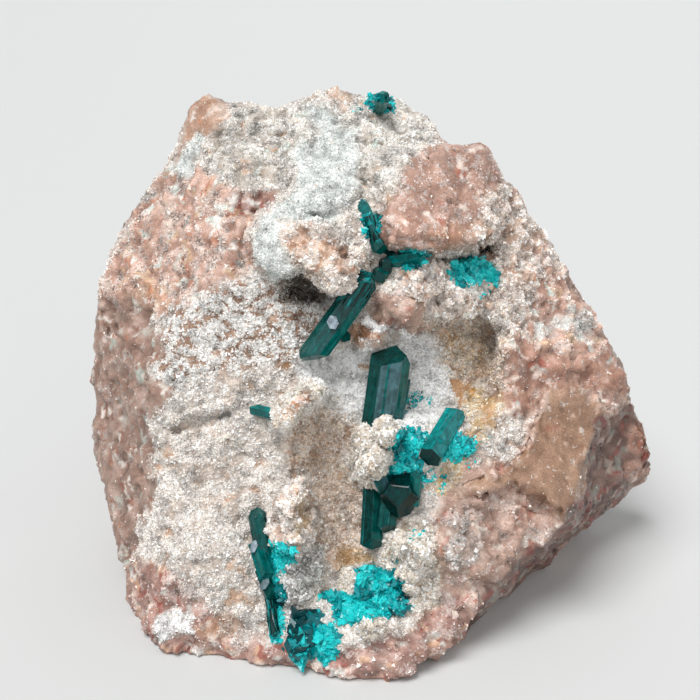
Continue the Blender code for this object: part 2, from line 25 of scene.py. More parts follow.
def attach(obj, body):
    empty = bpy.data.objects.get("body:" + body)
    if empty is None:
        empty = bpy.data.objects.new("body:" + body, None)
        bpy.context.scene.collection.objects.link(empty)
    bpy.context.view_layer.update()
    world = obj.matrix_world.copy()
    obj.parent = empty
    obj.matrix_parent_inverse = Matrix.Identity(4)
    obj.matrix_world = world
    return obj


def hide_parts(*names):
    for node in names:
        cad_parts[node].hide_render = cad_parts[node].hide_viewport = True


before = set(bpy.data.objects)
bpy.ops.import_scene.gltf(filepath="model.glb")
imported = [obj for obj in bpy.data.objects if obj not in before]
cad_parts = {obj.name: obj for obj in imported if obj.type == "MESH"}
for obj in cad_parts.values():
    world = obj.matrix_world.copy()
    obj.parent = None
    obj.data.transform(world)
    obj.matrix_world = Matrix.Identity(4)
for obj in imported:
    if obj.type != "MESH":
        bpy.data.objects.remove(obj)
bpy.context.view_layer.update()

MM = 0.001
LOG = logging.getLogger("dioptase")

# Places across and up on the sight plane, in millimetres
Outline = tuple[tuple[float, float], ...]


def linear(hex_colour: str) -> tuple[float, float, float]:
    """Turns an sRGB hex colour to linear light.

    Args:
        hex_colour: the colour as #rrggbb.

    Returns:
        The linear red, green and blue values.
    """
    channels = (int(hex_colour[place:place + 2], 16) / 255.0 for place in (1, 3, 5))
    return tuple(
        value / 12.92 if value <= 0.04045 else ((value + 0.055) / 1.055) ** 2.4
        for value in channels
    )


def smooth_step(x: np.ndarray) -> np.ndarray:
    """Eases from 0 to 1 as x goes from 0 to 1."""
    x = np.clip(x, 0.0, 1.0)
    return x * x * (3.0 - 2.0 * x)


def add_node(
    tree: bpy.types.NodeTree,
    kind: str,
    settings: dict | None = None,
    values: dict | None = None,
    links: dict | None = None,
) -> bpy.types.Node:
    """Adds a node to a material's tree.

    Args:
        tree: the node tree.
        kind: the node's type name.
        settings: properties of the node itself.
        values: values for its input sockets.
        links: output sockets to link to its inputs.

    Returns:
        The new node.
    """
    node = tree.nodes.new(kind)
    for name, value in (settings or {}).items():
        setattr(node, name, value)
    for name, value in (values or {}).items():
        node.inputs[name].default_value = value
    for name, socket in (links or {}).items():
        tree.links.new(socket, node.inputs[name])
    return node


def add_object(name: str, data: bpy.types.ID) -> bpy.types.Object:
    """Adds an object to the scene."""
    made = bpy.data.objects.new(name, data)
    bpy.context.scene.collection.objects.link(made)
    return made


@dataclass(frozen=True)
class SightPlane:
    """The plane of the view on which the show face is laid out.

    Args:
        eye: the viewer's eye, in millimetres.
        distance: from the eye to the plane, in millimetres.
        pitch: how far the gaze dips below the horizon, in radians.
    """

    eye: tuple[float, float, float] = (-4.2, -129.2, 78.0)
    distance: float = 125.0
    pitch: float = math.radians(20.0)

    @property
    def gaze(self) -> np.ndarray:
        """The direction in which the eye looks."""
        return np.array((0.0, math.cos(self.pitch), -math.sin(self.pitch)))

    @property
    def across(self) -> np.ndarray:
        """The direction that runs to the right on the plane."""
        return np.array((1.0, 0.0, 0.0))

    @property
    def upward(self) -> np.ndarray:
        """The direction that runs up on the plane."""
        return np.array((0.0, math.sin(self.pitch), math.cos(self.pitch)))

    def place(self, a: float, b: float, w: float) -> Vector:
        """The point in space, in metres, at a place and height on the plane."""
        ray = self.gaze + a / self.distance * self.across + b / self.distance * self.upward
        return Vector((np.array(self.eye) + (self.distance - w) * ray) * MM)

    def project(self, points: np.ndarray) -> tuple[np.ndarray, np.ndarray, np.ndarray]:
        """Where points show on the plane.

        Args:
            points: positions in millimetres, one per row.

        Returns:
            Their places across and up, and their heights.
        """
        apart = points - np.array(self.eye)
        depth = apart @ self.gaze
        a = self.distance * (apart @ self.across) / depth
        b = self.distance * (apart @ self.upward) / depth
        return a, b, self.distance - depth


SIGHT = SightPlane()


@dataclass
class Noise:
    """Smooth seeded noise in space, the same each time it is asked.

    Args:
        seed: the seed of its tables.
        last: the highest number that a cell of space can have, one less than a power of two.
        gain: what brings the noise to about -1 to 1.
        finer: how much finer each layer is than the one before.
        shift: how far each layer is moved from the one before, in millimetres.
        scatter: how far the scattered centres lie from the middles of their cells.
        tilt: how far a chip is tilted.
        step: how far a chip stands above its neighbours.
    """

    seed: int
    last: int = 255
    gain: float = 1.7
    finer: float = 2.03
    shift: float = 17.3
    scatter: float = 0.42
    tilt: float = 1.3
    step: float = 0.6

    def __post_init__(self) -> None:
        """Draws the tables of numbers, slopes and values."""
        rng = np.random.default_rng(self.seed)
        self.table = rng.permutation(self.last + 1)
        slopes = rng.normal(size=(self.last + 1, 3))
        self.slopes = slopes / np.linalg.norm(slopes, axis=1)[:, None]
        self.values = rng.random(self.last + 1)

    def keys(self, cell: np.ndarray) -> np.ndarray:
        """A number from 0 to the last for each cell of space."""
        first = self.table[cell[:, 0] & self.last]
        second = self.table[(first + cell[:, 1]) & self.last]
        return self.table[(second + cell[:, 2]) & self.last]

    def at(self, points: np.ndarray, size: float) -> np.ndarray:
        """Noise from about -1 to 1.

        Args:
            points: positions in millimetres.
            size: how large its lumps are, in millimetres.

        Returns:
            One value for each point.
        """
        spots = points / size
        cell = np.floor(spots).astype(int)
        part = spots - cell
        ease = part**3 * (part * (part * 6.0 - 15.0) + 10.0)
        total = np.zeros(len(points))
        for corner in itertools.product((0, 1), repeat=3):
            slope = self.slopes[self.keys(cell + corner)]
            share = np.prod(np.where(corner, ease, 1.0 - ease), axis=1)
            total += share * np.einsum("ij,ij->i", slope, part - corner)
        return total * self.gain

    def layered(self, points: np.ndarray, size: float, layers: int = 3) -> np.ndarray:
        """Noise with finer and finer layers, each half as strong as the one before."""
        parts = (
            self.at(points + self.shift * layer, size / self.finer**layer) / 2.0**layer
            for layer in range(layers)
        )
        return sum(parts)

    def cells(self, points: np.ndarray, size: float) -> tuple[np.ndarray, np.ndarray]:
        """The nearest of many scattered centres.

        Args:
            points: positions in millimetres.
            size: how far apart the centres are, in millimetres.

        Returns:
            The centre's number, and how far the point is from it, in sizes.
        """
        spots = points / size
        cell = np.floor(spots).astype(int)
        nearest = np.full(len(points), np.inf)
        number = np.zeros(len(points), int)
        offset = np.zeros(points.shape)
        for step in itertools.product((-1, 0, 1), repeat=3):
            key = self.keys(cell + step)
            apart = spots - (cell + step + 0.5 + self.scatter * self.slopes[key])
            distance = np.sum(apart**2, axis=1)
            closer = distance < nearest
            number = np.where(closer, key, number)
            offset = np.where(closer[:, None], apart, offset)
            nearest = np.minimum(nearest, distance)
        return number, offset

    def lumps(self, points: np.ndarray, size: float) -> np.ndarray:
        """Rounded lumps packed together: 1 on a lump's top and 0 in the gaps."""
        _, offset = self.cells(points, size)
        return np.clip(1.0 - np.sum(offset**2, axis=1), 0.0, 1.0)

    def chips(self, points: np.ndarray, size: float) -> np.ndarray:
        """Flat chips side by side, each tilted its own way, from about -1 to 1."""
        number, offset = self.cells(points, size)
        tilt = np.einsum("ij,ij->i", self.slopes[self.last - number], offset)
        return self.tilt * tilt + self.step * (self.values[number] - 0.5)


@dataclass(frozen=True)
class Ground:
    """One kind of rock surface.

    Args:
        colours: its darkest, middle and lightest colours, as sRGB hex.
        specks: colours of the specks in it.
        speck_share: the share of it that is specks.
        cover: the share of it that druse covers, in clumps.
        clump: how large the clumps are, in millimetres.
        grains: quartz grains on each square millimetre of druse.
        grain_size: width of a grain, in millimetres.
        grain_colours: colours of the grains, as sRGB hex.
        tinge: how far the rock's own colour shows through the grains.
        crumb: height of its crumbs of about a millimetre, in millimetres.
        crag: height of its broken knobs of a few millimetres, in millimetres.
        chip: how far its chips of broken rock stand up, in millimetres.
        lump: height of its rounded lumps, in millimetres.
        lump_size: how far apart the lumps are, in millimetres.
        facets: how far its fine facets stand up, in millimetres.
        roughness: how matt the rock is between the grains.
    """

    colours: tuple[str, str, str]
    specks: tuple[str, ...] = ()
    speck_share: float = 0.0
    cover: float = 0.5
    clump: float = 1.0
    grains: float = 20.0
    grain_size: float = 0.34
    grain_colours: tuple[str, ...] = ("#f6f3ee", "#e6e1d9")
    tinge: float = 0.2
    crumb: float = 0.12
    crag: float = 0.2
    chip: float = 0.0
    lump: float = 0.0
    lump_size: float = 2.0
    facets: float = 0.09
    roughness: float = 0.55


class GroundKind(Enum):
    """The grounds that the specimen's surface is made of."""

    BROKEN_SIDE = Ground(
        ("#755b4e", "#987b6d", "#b8a094"),
        ("#dcd3ca", "#bcb5ab", "#a06f59", "#8a5c4d", "#a4aaa0"), 0.24,
        cover=0.06, clump=1.6, grains=7.0, grain_size=0.24, tinge=0.7,
        grain_colours=("#efe6de", "#f6f1ec"), crumb=0.1, crag=0.5, chip=0.35, facets=0.006,
        roughness=0.36,
    )
    SPECKLED_PINK = Ground(
        ("#9c7767", "#bb9686", "#d6bcae"), ("#cdd6cf", "#b67e66", "#c9a98b", "#ece5de"), 0.36,
        cover=0.34, clump=1.9, grains=13.0, grain_size=0.3, tinge=0.65,
        grain_colours=("#fbf7f2", "#f0e6dd", "#f5f2ec"), crumb=0.24, crag=0.5, chip=0.4,
        facets=0.03, roughness=0.42,
    )
    SALTED_TAN = Ground(
        ("#735643", "#937460", "#ac917e"), ("#d6bfae",), 0.1,
        cover=0.6, clump=0.95, grains=38.0, grain_size=0.3, tinge=0.1,
        grain_colours=("#fbfcfb", "#eceae6", "#d5d1cb"), crumb=0.26, crag=0.25,
    )
    WHITE_SUGAR = Ground(
        ("#8b7b6e", "#b8aa9f", "#dbd1c8"), ("#bd9a80", "#d9cabd"), 0.22,
        cover=0.78, clump=1.9, grains=36.0, grain_size=0.29, tinge=0.35,
        grain_colours=("#fffefc", "#f4f0ea", "#e2dad1"), crumb=0.2, crag=0.25, facets=0.07,
    )
    PRISM_DRUSE = Ground(
        ("#a8a29a", "#dcd9d4", "#fbfaf8"), (), 0.0,
        cover=0.9, clump=1.0, grains=44.0, grain_size=0.31, tinge=0.1,
        grain_colours=("#ffffff", "#fefdfc", "#f2f0ec"), crumb=0.26, crag=0.2, facets=0.07,
    )
    TAN_SAND = Ground(
        ("#86695a", "#af8f78", "#cdb097"), ("#d9cabc",), 0.15,
        cover=0.84, clump=1.6, grains=38.0, grain_size=0.28, tinge=0.4,
        grain_colours=("#efe4d8", "#d3bda7", "#fdf8f2"), crumb=0.2, crag=0.25, facets=0.07,
    )
    AMBER_SAND = Ground(
        ("#80603f", "#a3815a", "#bf9d72"), (), 0.0,
        cover=0.66, clump=1.2, grains=32.0, grain_size=0.27, tinge=0.45,
        grain_colours=("#dcc29e", "#ead9c0"), crumb=0.16, crag=0.2, facets=0.06,
    )
    IRON_FILM = Ground(
        ("#98704d", "#b78b63", "#cda47e"), (), 0.0,
        cover=0.03, clump=0.9, grains=6.0, grain_size=0.22, tinge=0.4,
        grain_colours=("#f2e2cf",), crumb=0.06, crag=0.1, facets=0.006, roughness=0.3,
    )
    CHALK = Ground(
        ("#a3a9a5", "#c9cdc9", "#e3e6e2"), ("#c9ab96", "#bccfc7"), 0.1,
        cover=0.8, clump=1.5, grains=26.0, grain_size=0.24, tinge=0.2,
        grain_colours=("#f3f5f3", "#e2e5e2", "#cdd2ce"), crumb=0.24, crag=0.3, facets=0.04,
        roughness=0.8,
    )
    GREY_DRUSE = Ground(
        ("#8f8376", "#b4aa9f", "#d3ccc3"), ("#bccac2", "#c9a88f", "#e9e5df"), 0.24,
        cover=0.74, clump=2.1, grains=30.0, grain_size=0.28, tinge=0.4,
        grain_colours=("#fefefc", "#f0ede8", "#dcd6ce"), crumb=0.24, crag=0.4, chip=0.3,
        facets=0.05,
    )
    RIM_CRUST = Ground(
        ("#8f7564", "#b89c8b", "#d9c4b6"), ("#c08d70", "#dcbfa9", "#ece4db"), 0.26,
        cover=0.66, clump=1.8, grains=17.0, grain_size=0.34, tinge=0.4,
        grain_colours=("#fffdfb", "#f4efe9", "#e2d6ca"), crumb=0.3, crag=0.65, chip=0.4,
        lump=0.6, lump_size=1.9, facets=0.06,
    )
    CREAM_LUMPS = Ground(
        ("#8b7863", "#b5a492", "#d5cabb"), ("#c09a70",), 0.1,
        cover=0.85, clump=1.4, grains=20.0, grain_size=0.36, tinge=0.25,
        grain_colours=("#fdfcf9", "#ece6dd", "#d3c7b8"), crumb=0.2, crag=0.4,
        lump=0.8, lump_size=1.5,
    )
    CLEAR_LUMPS = Ground(
        ("#67635e", "#8f8b85", "#b5b1ab"), (), 0.0,
        cover=0.85, clump=1.4, grains=13.0, grain_size=0.42, tinge=0.25,
        grain_colours=("#eeeeed", "#c6c4c0", "#a19d97"), crumb=0.2, crag=0.4,
        lump=0.8, lump_size=1.6,
    )
    PINK_PLATE = Ground(
        ("#8d695a", "#ae8979", "#caab9c"), ("#aa6c5a", "#e4d2c6"), 0.16,
        cover=0.24, clump=0.95, grains=12.0, grain_size=0.24, tinge=0.6,
        grain_colours=("#fffaf6", "#f2e0d6"), crumb=0.1, crag=0.3, chip=0.35,
        facets=0.02, roughness=0.36,
    )
    PINK_GRAIN = Ground(
        ("#83605a", "#a37f73", "#c29f93"), ("#965548", "#cba488", "#e6d4c8", "#d8d6cf"), 0.34,
        cover=0.24, clump=1.5, grains=11.0, grain_size=0.27, tinge=0.65,
        grain_colours=("#fffaf6", "#f0dcd1"), crumb=0.18, crag=0.7, chip=0.45,
        facets=0.025, roughness=0.36,
    )
    FLESH_QUARTZ = Ground(
        ("#927467", "#b59687", "#d3bcae"), ("#a97565", "#e6d9cf"), 0.2,
        cover=0.16, clump=1.8, grains=10.0, grain_size=0.26, tinge=0.7,
        grain_colours=("#fffaf7", "#efe0d7"), crumb=0.14, crag=0.6, chip=0.7,
        facets=0.018, roughness=0.3,
    )
    WAXY_BREAK = Ground(
        ("#7f5f4b", "#9c7a63", "#b6937a"), ("#cfb09c", "#96684f"), 0.1,
        cover=0.02, clump=0.7, grains=6.0, grain_size=0.2, tinge=0.5,
        grain_colours=("#faf3ec", "#e9cfc0"), crumb=0.04, crag=0.3, chip=0.12,
        facets=0.004, roughness=0.3,
    )
    SHOULDER_PINK = Ground(
        ("#8c6554", "#ab8270", "#c7a493"), ("#b0634e", "#cbd5cf", "#e4d2c6"), 0.2,
        cover=0.14, clump=1.3, grains=9.0, grain_size=0.25, tinge=0.65,
        grain_colours=("#fcf6f1", "#efdfd4"), crumb=0.14, crag=0.5, chip=0.45,
        facets=0.015, roughness=0.34,
    )
    UNDERSIDE = Ground(
        ("#46352f", "#6b5047", "#93776b"), ("#8b877e", "#7a3a31", "#a8958a", "#8a4f45"), 0.4,
        cover=0.04, clump=1.2, grains=7.0, grain_size=0.22, tinge=0.8,
        grain_colours=("#e0d8d2", "#c3b5ab"), crumb=0.14, crag=0.4, chip=0.22,
        facets=0.01, roughness=0.34,
    )
    HORN = Ground(
        ("#9a745e", "#c09a83", "#e8d6c8"), ("#c08c6e",), 0.08,
        cover=0.03, clump=0.9, grains=6.0, grain_size=0.22, tinge=0.4,
        grain_colours=("#fdf8f4",), crumb=0.04, crag=0.15, chip=0.3, facets=0.004,
        roughness=0.28,
    )
    ORANGE = Ground(
        ("#94664e", "#b18567", "#caa789"), ("#ecd5c2", "#ad6145"), 0.18,
        cover=0.26, clump=1.0, grains=12.0, grain_size=0.28, tinge=0.55,
        grain_colours=("#fbf1e8", "#edceb5"), crumb=0.18, crag=0.4, chip=0.25,
        facets=0.025, roughness=0.36,
    )
    YELLOW_SAND = Ground(
        ("#a58558", "#c6a678", "#dcc69f"), ("#f2ece0", "#d79b36"), 0.16,
        cover=0.55, clump=1.0, grains=30.0, grain_size=0.28, tinge=0.4,
        grain_colours=("#f8efdd", "#ecd3a6", "#fdfaf4"), crumb=0.18, crag=0.2,
    )
    COPPER_STAIN = Ground(
        ("#014a4d", "#04797c", "#12a3a4"), ("#6fd6d2",), 0.05,
        cover=0.05, clump=0.9, grains=8.0, grain_size=0.26, tinge=0.4,
        grain_colours=("#8fdcd8", "#f2f4f2"), crumb=0.25, crag=0.2, facets=0.1,
        roughness=0.3,
    )
    # Painted shade: a dull dark ground with grey grains, laid in the cavity under the ledge and in the
    # dark hole, where shade falls
    SHADOWED = Ground(
        ("#5d5148", "#7d6f64", "#988a7d"), (), 0.0,
        cover=0.4, clump=1.0, grains=14.0, grain_size=0.3, tinge=0.5,
        grain_colours=("#c9c2b9", "#a59a8f"), crumb=0.25, crag=0.5, chip=0.5,
    )


def within(
    outline: Outline, edge: float, a: np.ndarray, b: np.ndarray, ragged: np.ndarray
) -> np.ndarray:
    """How far places lie inside an outline.

    Args:
        outline: the outline on the sight plane.
        edge: how wide its edge fades, in millimetres.
        a: places across.
        b: places up.
        ragged: how far the edge is moved there, in millimetres.

    Returns:
        Values from 0, outside, to 1, inside.
    """
    nearest = np.full(len(a), np.inf)
    inside = np.zeros(len(a), bool)
    for (a0, b0), (a1, b1) in zip(outline, outline[1:] + outline[:1]):
        da, db = a1 - a0, b1 - b0
        along = np.clip(((a - a0) * da + (b - b0) * db) / (da * da + db * db), 0.0, 1.0)
        nearest = np.minimum(nearest, np.hypot(a - a0 - along * da, b - b0 - along * db))
        if db:
            crossing = a0 + (b - b0) * da / db
            inside ^= ((b0 > b) != (b1 > b)) & (a < crossing)
    signed = np.where(inside, nearest, -nearest) + ragged
    return smooth_step(0.5 + signed / edge)


@dataclass(frozen=True)
class Patch:
    """A patch of one ground on the show face.

    Args:
        kind: the ground.
        outline: its outline on the sight plane.
        edge: how wide its edge fades, in millimetres.
        strength: how much it covers.
    """

    kind: GroundKind
    outline: Outline
    edge: float = 1.2
    strength: float = 1.0

    def cover(self, a: np.ndarray, b: np.ndarray, ragged: np.ndarray) -> np.ndarray:
        """How much the patch covers each place, from 0 to 1."""
        return self.strength * within(self.outline, self.edge, a, b, ragged)


def spot(a: float, b: float, across: float, up: float, points: int = 8) -> Outline:
    """An oval outline around a place on the sight plane."""
    turns = (math.tau * step / points for step in range(points))
    return tuple((a + across * math.cos(turn), b + up * math.sin(turn)) for turn in turns)


# The smooth break on the right with the nose below it, both a ground and a form
SMOOTH_BREAK = (
    (24.8, -4.6), (24.0, -6.5), (22.9, -10.6), (21.9, -12.8), (19.6, -15.0), (16.0, -16.4),
    (13.0, -18.4), (17.5, -17.2), (20.5, -16.6), (22.9, -18.8), (25.1, -20.5), (26.2, -20.8),
    (27.9, -20.1), (29.1, -18.0), (29.5, -15.0), (29.8, -12.0), (31.4, -9.5), (32.8, -7.6),
    (30.6, -6.0), (27.9, -4.6))

# The grounds of the show face, each painted over the ones before it
PATCHES = (
    Patch(GroundKind.FLESH_QUARTZ, ((9.0, -45.0), (9.0, -22.0), (14.0, -11.0), (21.0, 4.0),
        (30.0, 20.0), (45.0, 20.0), (45.0, -45.0)), 3.0),
    Patch(GroundKind.SALTED_TAN, ((-23.8, 6.2), (-18.1, 7.5), (-11.0, 9.4), (-7.5, 7.2), (-0.6, 6.8),
        (-2.5, 2.5), (-6.2, 0.6), (-6.2, -1.9), (-11.0, -2.8), (-16.9, -3.8), (-23.8, -5.2),
        (-24.5, -1.9), (-23.5, 0.6)), 2.4),
    Patch(GroundKind.SPECKLED_PINK, ((-21.0, 26.0), (-22.5, 23.0), (-26.0, 18.4), (-29.1, 13.2),
        (-32.4, 7.6), (-30.6, 3.6), (-24.0, 3.6), (-19.4, 6.9), (-13.8, 8.8), (-11.0, 11.0),
        (-12.2, 14.4), (-10.8, 16.4), (-13.2, 20.0), (-18.9, 23.0)), 2.6),
    Patch(GroundKind.GREY_DRUSE, ((-15.5, 30.5), (-11.0, 31.2), (-7.6, 31.5), (-5.2, 29.1),
        (-5.6, 25.0), (-6.8, 21.0), (-11.0, 19.2), (-15.0, 20.6), (-17.9, 22.8), (-19.0, 25.0),
        (-17.0, 27.0)), 2.0),
    Patch(GroundKind.ORANGE, ((-26.8, 8.1), (-24.5, 8.8), (-23.5, 5.5), (-25.0, 4.0),
        (-26.8, 5.5)), 2.0),
    Patch(GroundKind.HORN, ((-21.2, 25.0), (-21.1, 30.1), (-19.4, 33.2), (-16.1, 32.5), (-15.2, 29.1),
        (-16.9, 27.4), (-19.4, 25.5)), 1.2),
    Patch(GroundKind.CHALK, ((-21.8, 23.1), (-20.5, 26.0), (-18.1, 26.2), (-19.0, 23.8),
        (-20.5, 21.9)), 1.4),
    Patch(GroundKind.PINK_GRAIN, ((-14.4, 19.8), (-11.9, 19.2), (-9.2, 19.5), (-9.0, 17.8),
        (-11.8, 16.1), (-14.0, 17.1), (-15.6, 18.5)), 1.4),
    Patch(GroundKind.GREY_DRUSE, ((-5.6, 31.8), (-2.5, 34.0), (1.2, 32.8), (6.0, 32.0), (9.4, 30.0),
        (11.2, 25.0), (8.1, 23.1), (5.6, 20.0), (2.8, 18.8), (0.2, 18.0), (-4.0, 22.0), (-6.5, 23.8),
        (-6.2, 27.5)), 1.6),
    Patch(GroundKind.CHALK, ((-5.0, 30.2), (-1.8, 30.0), (0.6, 27.0), (0.9, 23.0), (0.4, 18.1),
        (-1.5, 16.0), (-5.6, 15.5), (-10.0, 15.5), (-10.8, 16.8), (-8.2, 18.2), (-6.8, 20.0),
        (-6.8, 24.8), (-4.6, 26.4)), 1.6),
    Patch(GroundKind.ORANGE, ((-3.1, 34.2), (-0.6, 34.0), (0.2, 31.2), (-0.5, 29.8),
        (-2.5, 30.8)), 1.4, 0.7),
    Patch(GroundKind.CHALK, ((-11.0, 16.8), (-12.2, 14.0), (-11.5, 11.0), (-10.2, 8.8), (-8.2, 8.2),
        (-6.8, 9.2), (-7.2, 11.5), (-8.8, 13.8), (-9.0, 15.8)), 0.8, 0.95),
    Patch(GroundKind.RIM_CRUST, ((-8.5, 16.0), (-5.5, 16.0), (-2.5, 14.2), (1.2, 12.8), (1.8, 10.0),
        (-0.2, 7.2), (-3.5, 7.5), (-5.6, 10.2), (-7.5, 12.0)), 1.4),
    Patch(GroundKind.ORANGE, spot(-6.2, 13.2, 2.2, 1.5), 2.0, 0.8),
    Patch(GroundKind.ORANGE, spot(-3.0, 11.4, 1.6, 1.4), 1.8, 0.7),
    # Painted shade in the cavity under the ledge
    Patch(GroundKind.SHADOWED, ((-9.2, 8.5), (-6.2, 10.2), (-4.2, 9.4), (-2.5, 7.5), (-3.0, 6.0),
        (-6.2, 5.8), (-8.2, 6.5)), 1.6, 0.85),
    Patch(GroundKind.PINK_PLATE, ((4.2, 18.1), (6.0, 20.0), (8.1, 24.2), (11.8, 26.5), (17.8, 27.0),
        (19.9, 21.0), (20.2, 18.1), (17.4, 14.2), (15.0, 12.5), (9.6, 12.2), (4.6, 13.0),
        (3.2, 15.2)), 1.4),
    Patch(GroundKind.ORANGE, spot(12.5, 14.4, 2.4, 1.2), 1.8, 0.6),
    Patch(GroundKind.RIM_CRUST, ((16.0, 18.8), (19.4, 21.5), (22.8, 18.9), (25.4, 13.5), (27.5, 8.6),
        (24.8, 4.0), (22.5, 0.6), (19.4, -0.2), (18.8, 2.8), (16.8, 6.2), (18.2, 9.4), (16.2, 12.2),
        (16.2, 14.8)), 1.6),
    Patch(GroundKind.PINK_GRAIN, spot(24.0, 11.6, 1.8, 1.6), 1.8, 0.7),
    Patch(GroundKind.RIM_CRUST, ((6.0, 10.2), (9.8, 11.8), (12.0, 11.0), (12.8, 7.5), (17.0, 6.2),
        (15.0, 2.5), (11.2, 3.5), (7.5, 4.8), (6.0, 7.2)), 1.4),
    Patch(GroundKind.FLESH_QUARTZ, ((2.8, 7.2), (6.0, 6.8), (8.8, 4.8), (11.2, 2.0), (8.8, 1.0),
        (4.5, 2.2), (2.8, 4.0)), 1.2),
    Patch(GroundKind.ORANGE, ((0.2, 3.0), (2.8, 3.8), (4.8, 2.2), (4.5, 0.0), (2.0, 0.2),
        (0.2, 1.2)), 1.0),
    Patch(GroundKind.SHOULDER_PINK, ((21.2, 2.5), (26.2, -0.6), (32.8, 1.6), (35.8, -1.5), (36.2, -6.2),
        (31.2, -6.0), (27.5, -3.8), (23.8, -6.2), (19.4, -11.2), (17.5, -8.8), (19.4, -3.8),
        (19.4, 0.6)), 2.2),
    Patch(GroundKind.SPECKLED_PINK, ((22.5, 8.1), (25.8, 10.0), (29.8, 6.6), (32.2, 3.5), (31.8, 0.0),
        (28.1, -0.2), (24.4, -0.2), (21.5, 2.5)), 1.8),
    Patch(GroundKind.CHALK, spot(25.4, 2.8, 1.6, 1.0), 1.4, 0.7),
    Patch(GroundKind.CHALK, spot(29.0, 3.2, 1.8, 1.4), 1.4, 0.6),
    Patch(GroundKind.WAXY_BREAK, SMOOTH_BREAK, 1.0),
    Patch(GroundKind.SHOULDER_PINK, spot(27.6, -3.6, 4.6, 1.4), 2.6, 0.7),
    Patch(GroundKind.CHALK, spot(-14.0, -11.2, 3.4, 1.6), 3.0, 0.4),
    Patch(GroundKind.WHITE_SUGAR, ((18.6, -7.6), (22.6, -8.0), (21.6, -11.6), (18.5, -13.8),
        (14.6, -15.2), (15.6, -12.0)), 1.8, 0.85),
    Patch(GroundKind.TAN_SAND, ((9.4, 4.0), (14.8, 4.2), (18.4, 3.6), (19.4, 0.5), (19.1, -4.4),
        (14.8, -5.2), (12.2, -3.5), (10.8, 0.0)), 2.0),
    Patch(GroundKind.YELLOW_SAND, spot(14.6, 0.2, 3.4, 3.0), 3.0, 0.4),
    Patch(GroundKind.YELLOW_SAND, ((14.0, -4.8), (18.8, -6.0), (18.2, -9.0), (15.4, -11.4),
        (13.6, -15.5), (11.2, -17.8), (10.4, -17.0), (12.4, -12.8), (14.6, -8.8)), 1.6, 0.9),
    Patch(GroundKind.WHITE_SUGAR, ((-25.0, -6.5), (-18.8, -7.2), (-13.8, -6.9), (-8.1, -9.4),
        (-6.5, -15.0), (-10.5, -18.8), (-13.0, -20.8), (-11.8, -26.2), (-10.5, -32.5), (-12.5, -35.8),
        (-18.1, -35.2), (-23.1, -31.2), (-26.8, -26.2), (-25.5, -18.8)), 2.4),
    Patch(GroundKind.TAN_SAND, ((-7.2, -9.4), (-3.6, -6.9), (1.5, -9.4), (0.2, -12.8), (1.5, -17.5),
        (1.5, -24.0), (3.8, -26.5), (-0.5, -27.8), (-3.5, -25.8), (-4.0, -22.5), (-4.8, -17.5),
        (-6.8, -13.8)), 2.4),
    Patch(GroundKind.AMBER_SAND, ((-1.2, -25.2), (2.8, -24.8), (4.0, -26.5), (1.5, -28.2),
        (-0.8, -27.8)), 1.4),
    Patch(GroundKind.PRISM_DRUSE, ((-6.2, -2.2), (-2.5, -0.2), (1.5, 0.0), (6.2, 0.8), (10.0, 1.2),
        (11.2, -1.9), (13.1, -5.6), (10.0, -9.8), (6.1, -10.2), (1.5, -9.0), (-2.5, -6.2),
        (-4.8, -5.2)), 2.4),
    Patch(GroundKind.IRON_FILM, ((12.2, -3.8), (13.2, -3.6), (14.0, -4.1), (14.8, -4.8), (14.4, -5.6),
        (13.8, -6.4), (13.7, -7.2), (13.4, -6.2), (13.0, -5.2), (12.6, -4.4)), 0.4),
    Patch(GroundKind.IRON_FILM, spot(17.0, -7.8, 1.0, 1.5), 0.9, 0.8),
    Patch(GroundKind.IRON_FILM, spot(1.8, -2.1, 0.8, 0.5), 0.4, 0.8),
    Patch(GroundKind.IRON_FILM, spot(-7.9, -2.0, 0.5, 0.8), 0.4, 0.8),
    Patch(GroundKind.PRISM_DRUSE, ((2.0, 4.4), (3.4, 3.2), (5.2, 2.8), (7.4, 2.2), (7.6, 1.5),
        (5.2, 2.0), (3.0, 2.3), (1.6, 3.8)), 0.5),
    Patch(GroundKind.CLEAR_LUMPS, ((-10.8, -24.0), (-7.5, -24.8), (-4.0, -25.2), (-3.5, -27.5),
        (-5.5, -31.2), (-8.0, -33.0), (-9.2, -28.8), (-10.2, -26.2)), 1.4),
    Patch(GroundKind.RIM_CRUST, ((-9.8, -21.2), (-8.5, -17.5), (-6.2, -16.2), (-4.8, -18.8),
        (-4.5, -23.8), (-6.2, -25.2), (-8.8, -24.8), (-10.2, -23.8)), 1.2),
    Patch(GroundKind.AMBER_SAND, ((-7.5, -18.8), (-5.8, -18.0), (-5.2, -22.5), (-6.8, -23.2),
        (-7.8, -21.2)), 1.2, 0.8),
    Patch(GroundKind.CREAM_LUMPS, ((-9.4, -9.2), (-9.9, -7.8), (-8.2, -5.8), (-5.8, -4.2), (-3.6, -4.0),
        (-3.0, -5.1), (-4.8, -6.6), (-7.0, -8.8), (-8.4, -9.8)), 0.6),
    Patch(GroundKind.ORANGE, ((-8.6, -8.4), (-7.6, -6.8), (-5.2, -5.2), (-4.2, -5.0), (-5.0, -6.2),
        (-7.4, -8.6)), 0.6, 0.75),
    Patch(GroundKind.PINK_GRAIN, ((-29.5, -25.6), (-26.4, -25.6), (-22.0, -28.6), (-17.0, -31.8),
        (-13.4, -35.0), (-8.8, -36.6), (-1.2, -37.5), (6.2, -35.2), (11.2, -32.5), (13.1, -29.4),
        (15.6, -33.5), (12.2, -38.8), (7.1, -42.8), (0.5, -44.5), (-7.6, -42.8), (-15.9, -41.2),
        (-24.0, -39.8), (-29.8, -36.1)), 2.2),
    Patch(GroundKind.WHITE_SUGAR, ((-19.5, -29.0), (-16.0, -30.8), (-13.0, -34.0), (-12.0, -36.5),
        (-15.0, -36.2), (-18.0, -32.8), (-20.5, -31.2)), 2.6, 0.7),
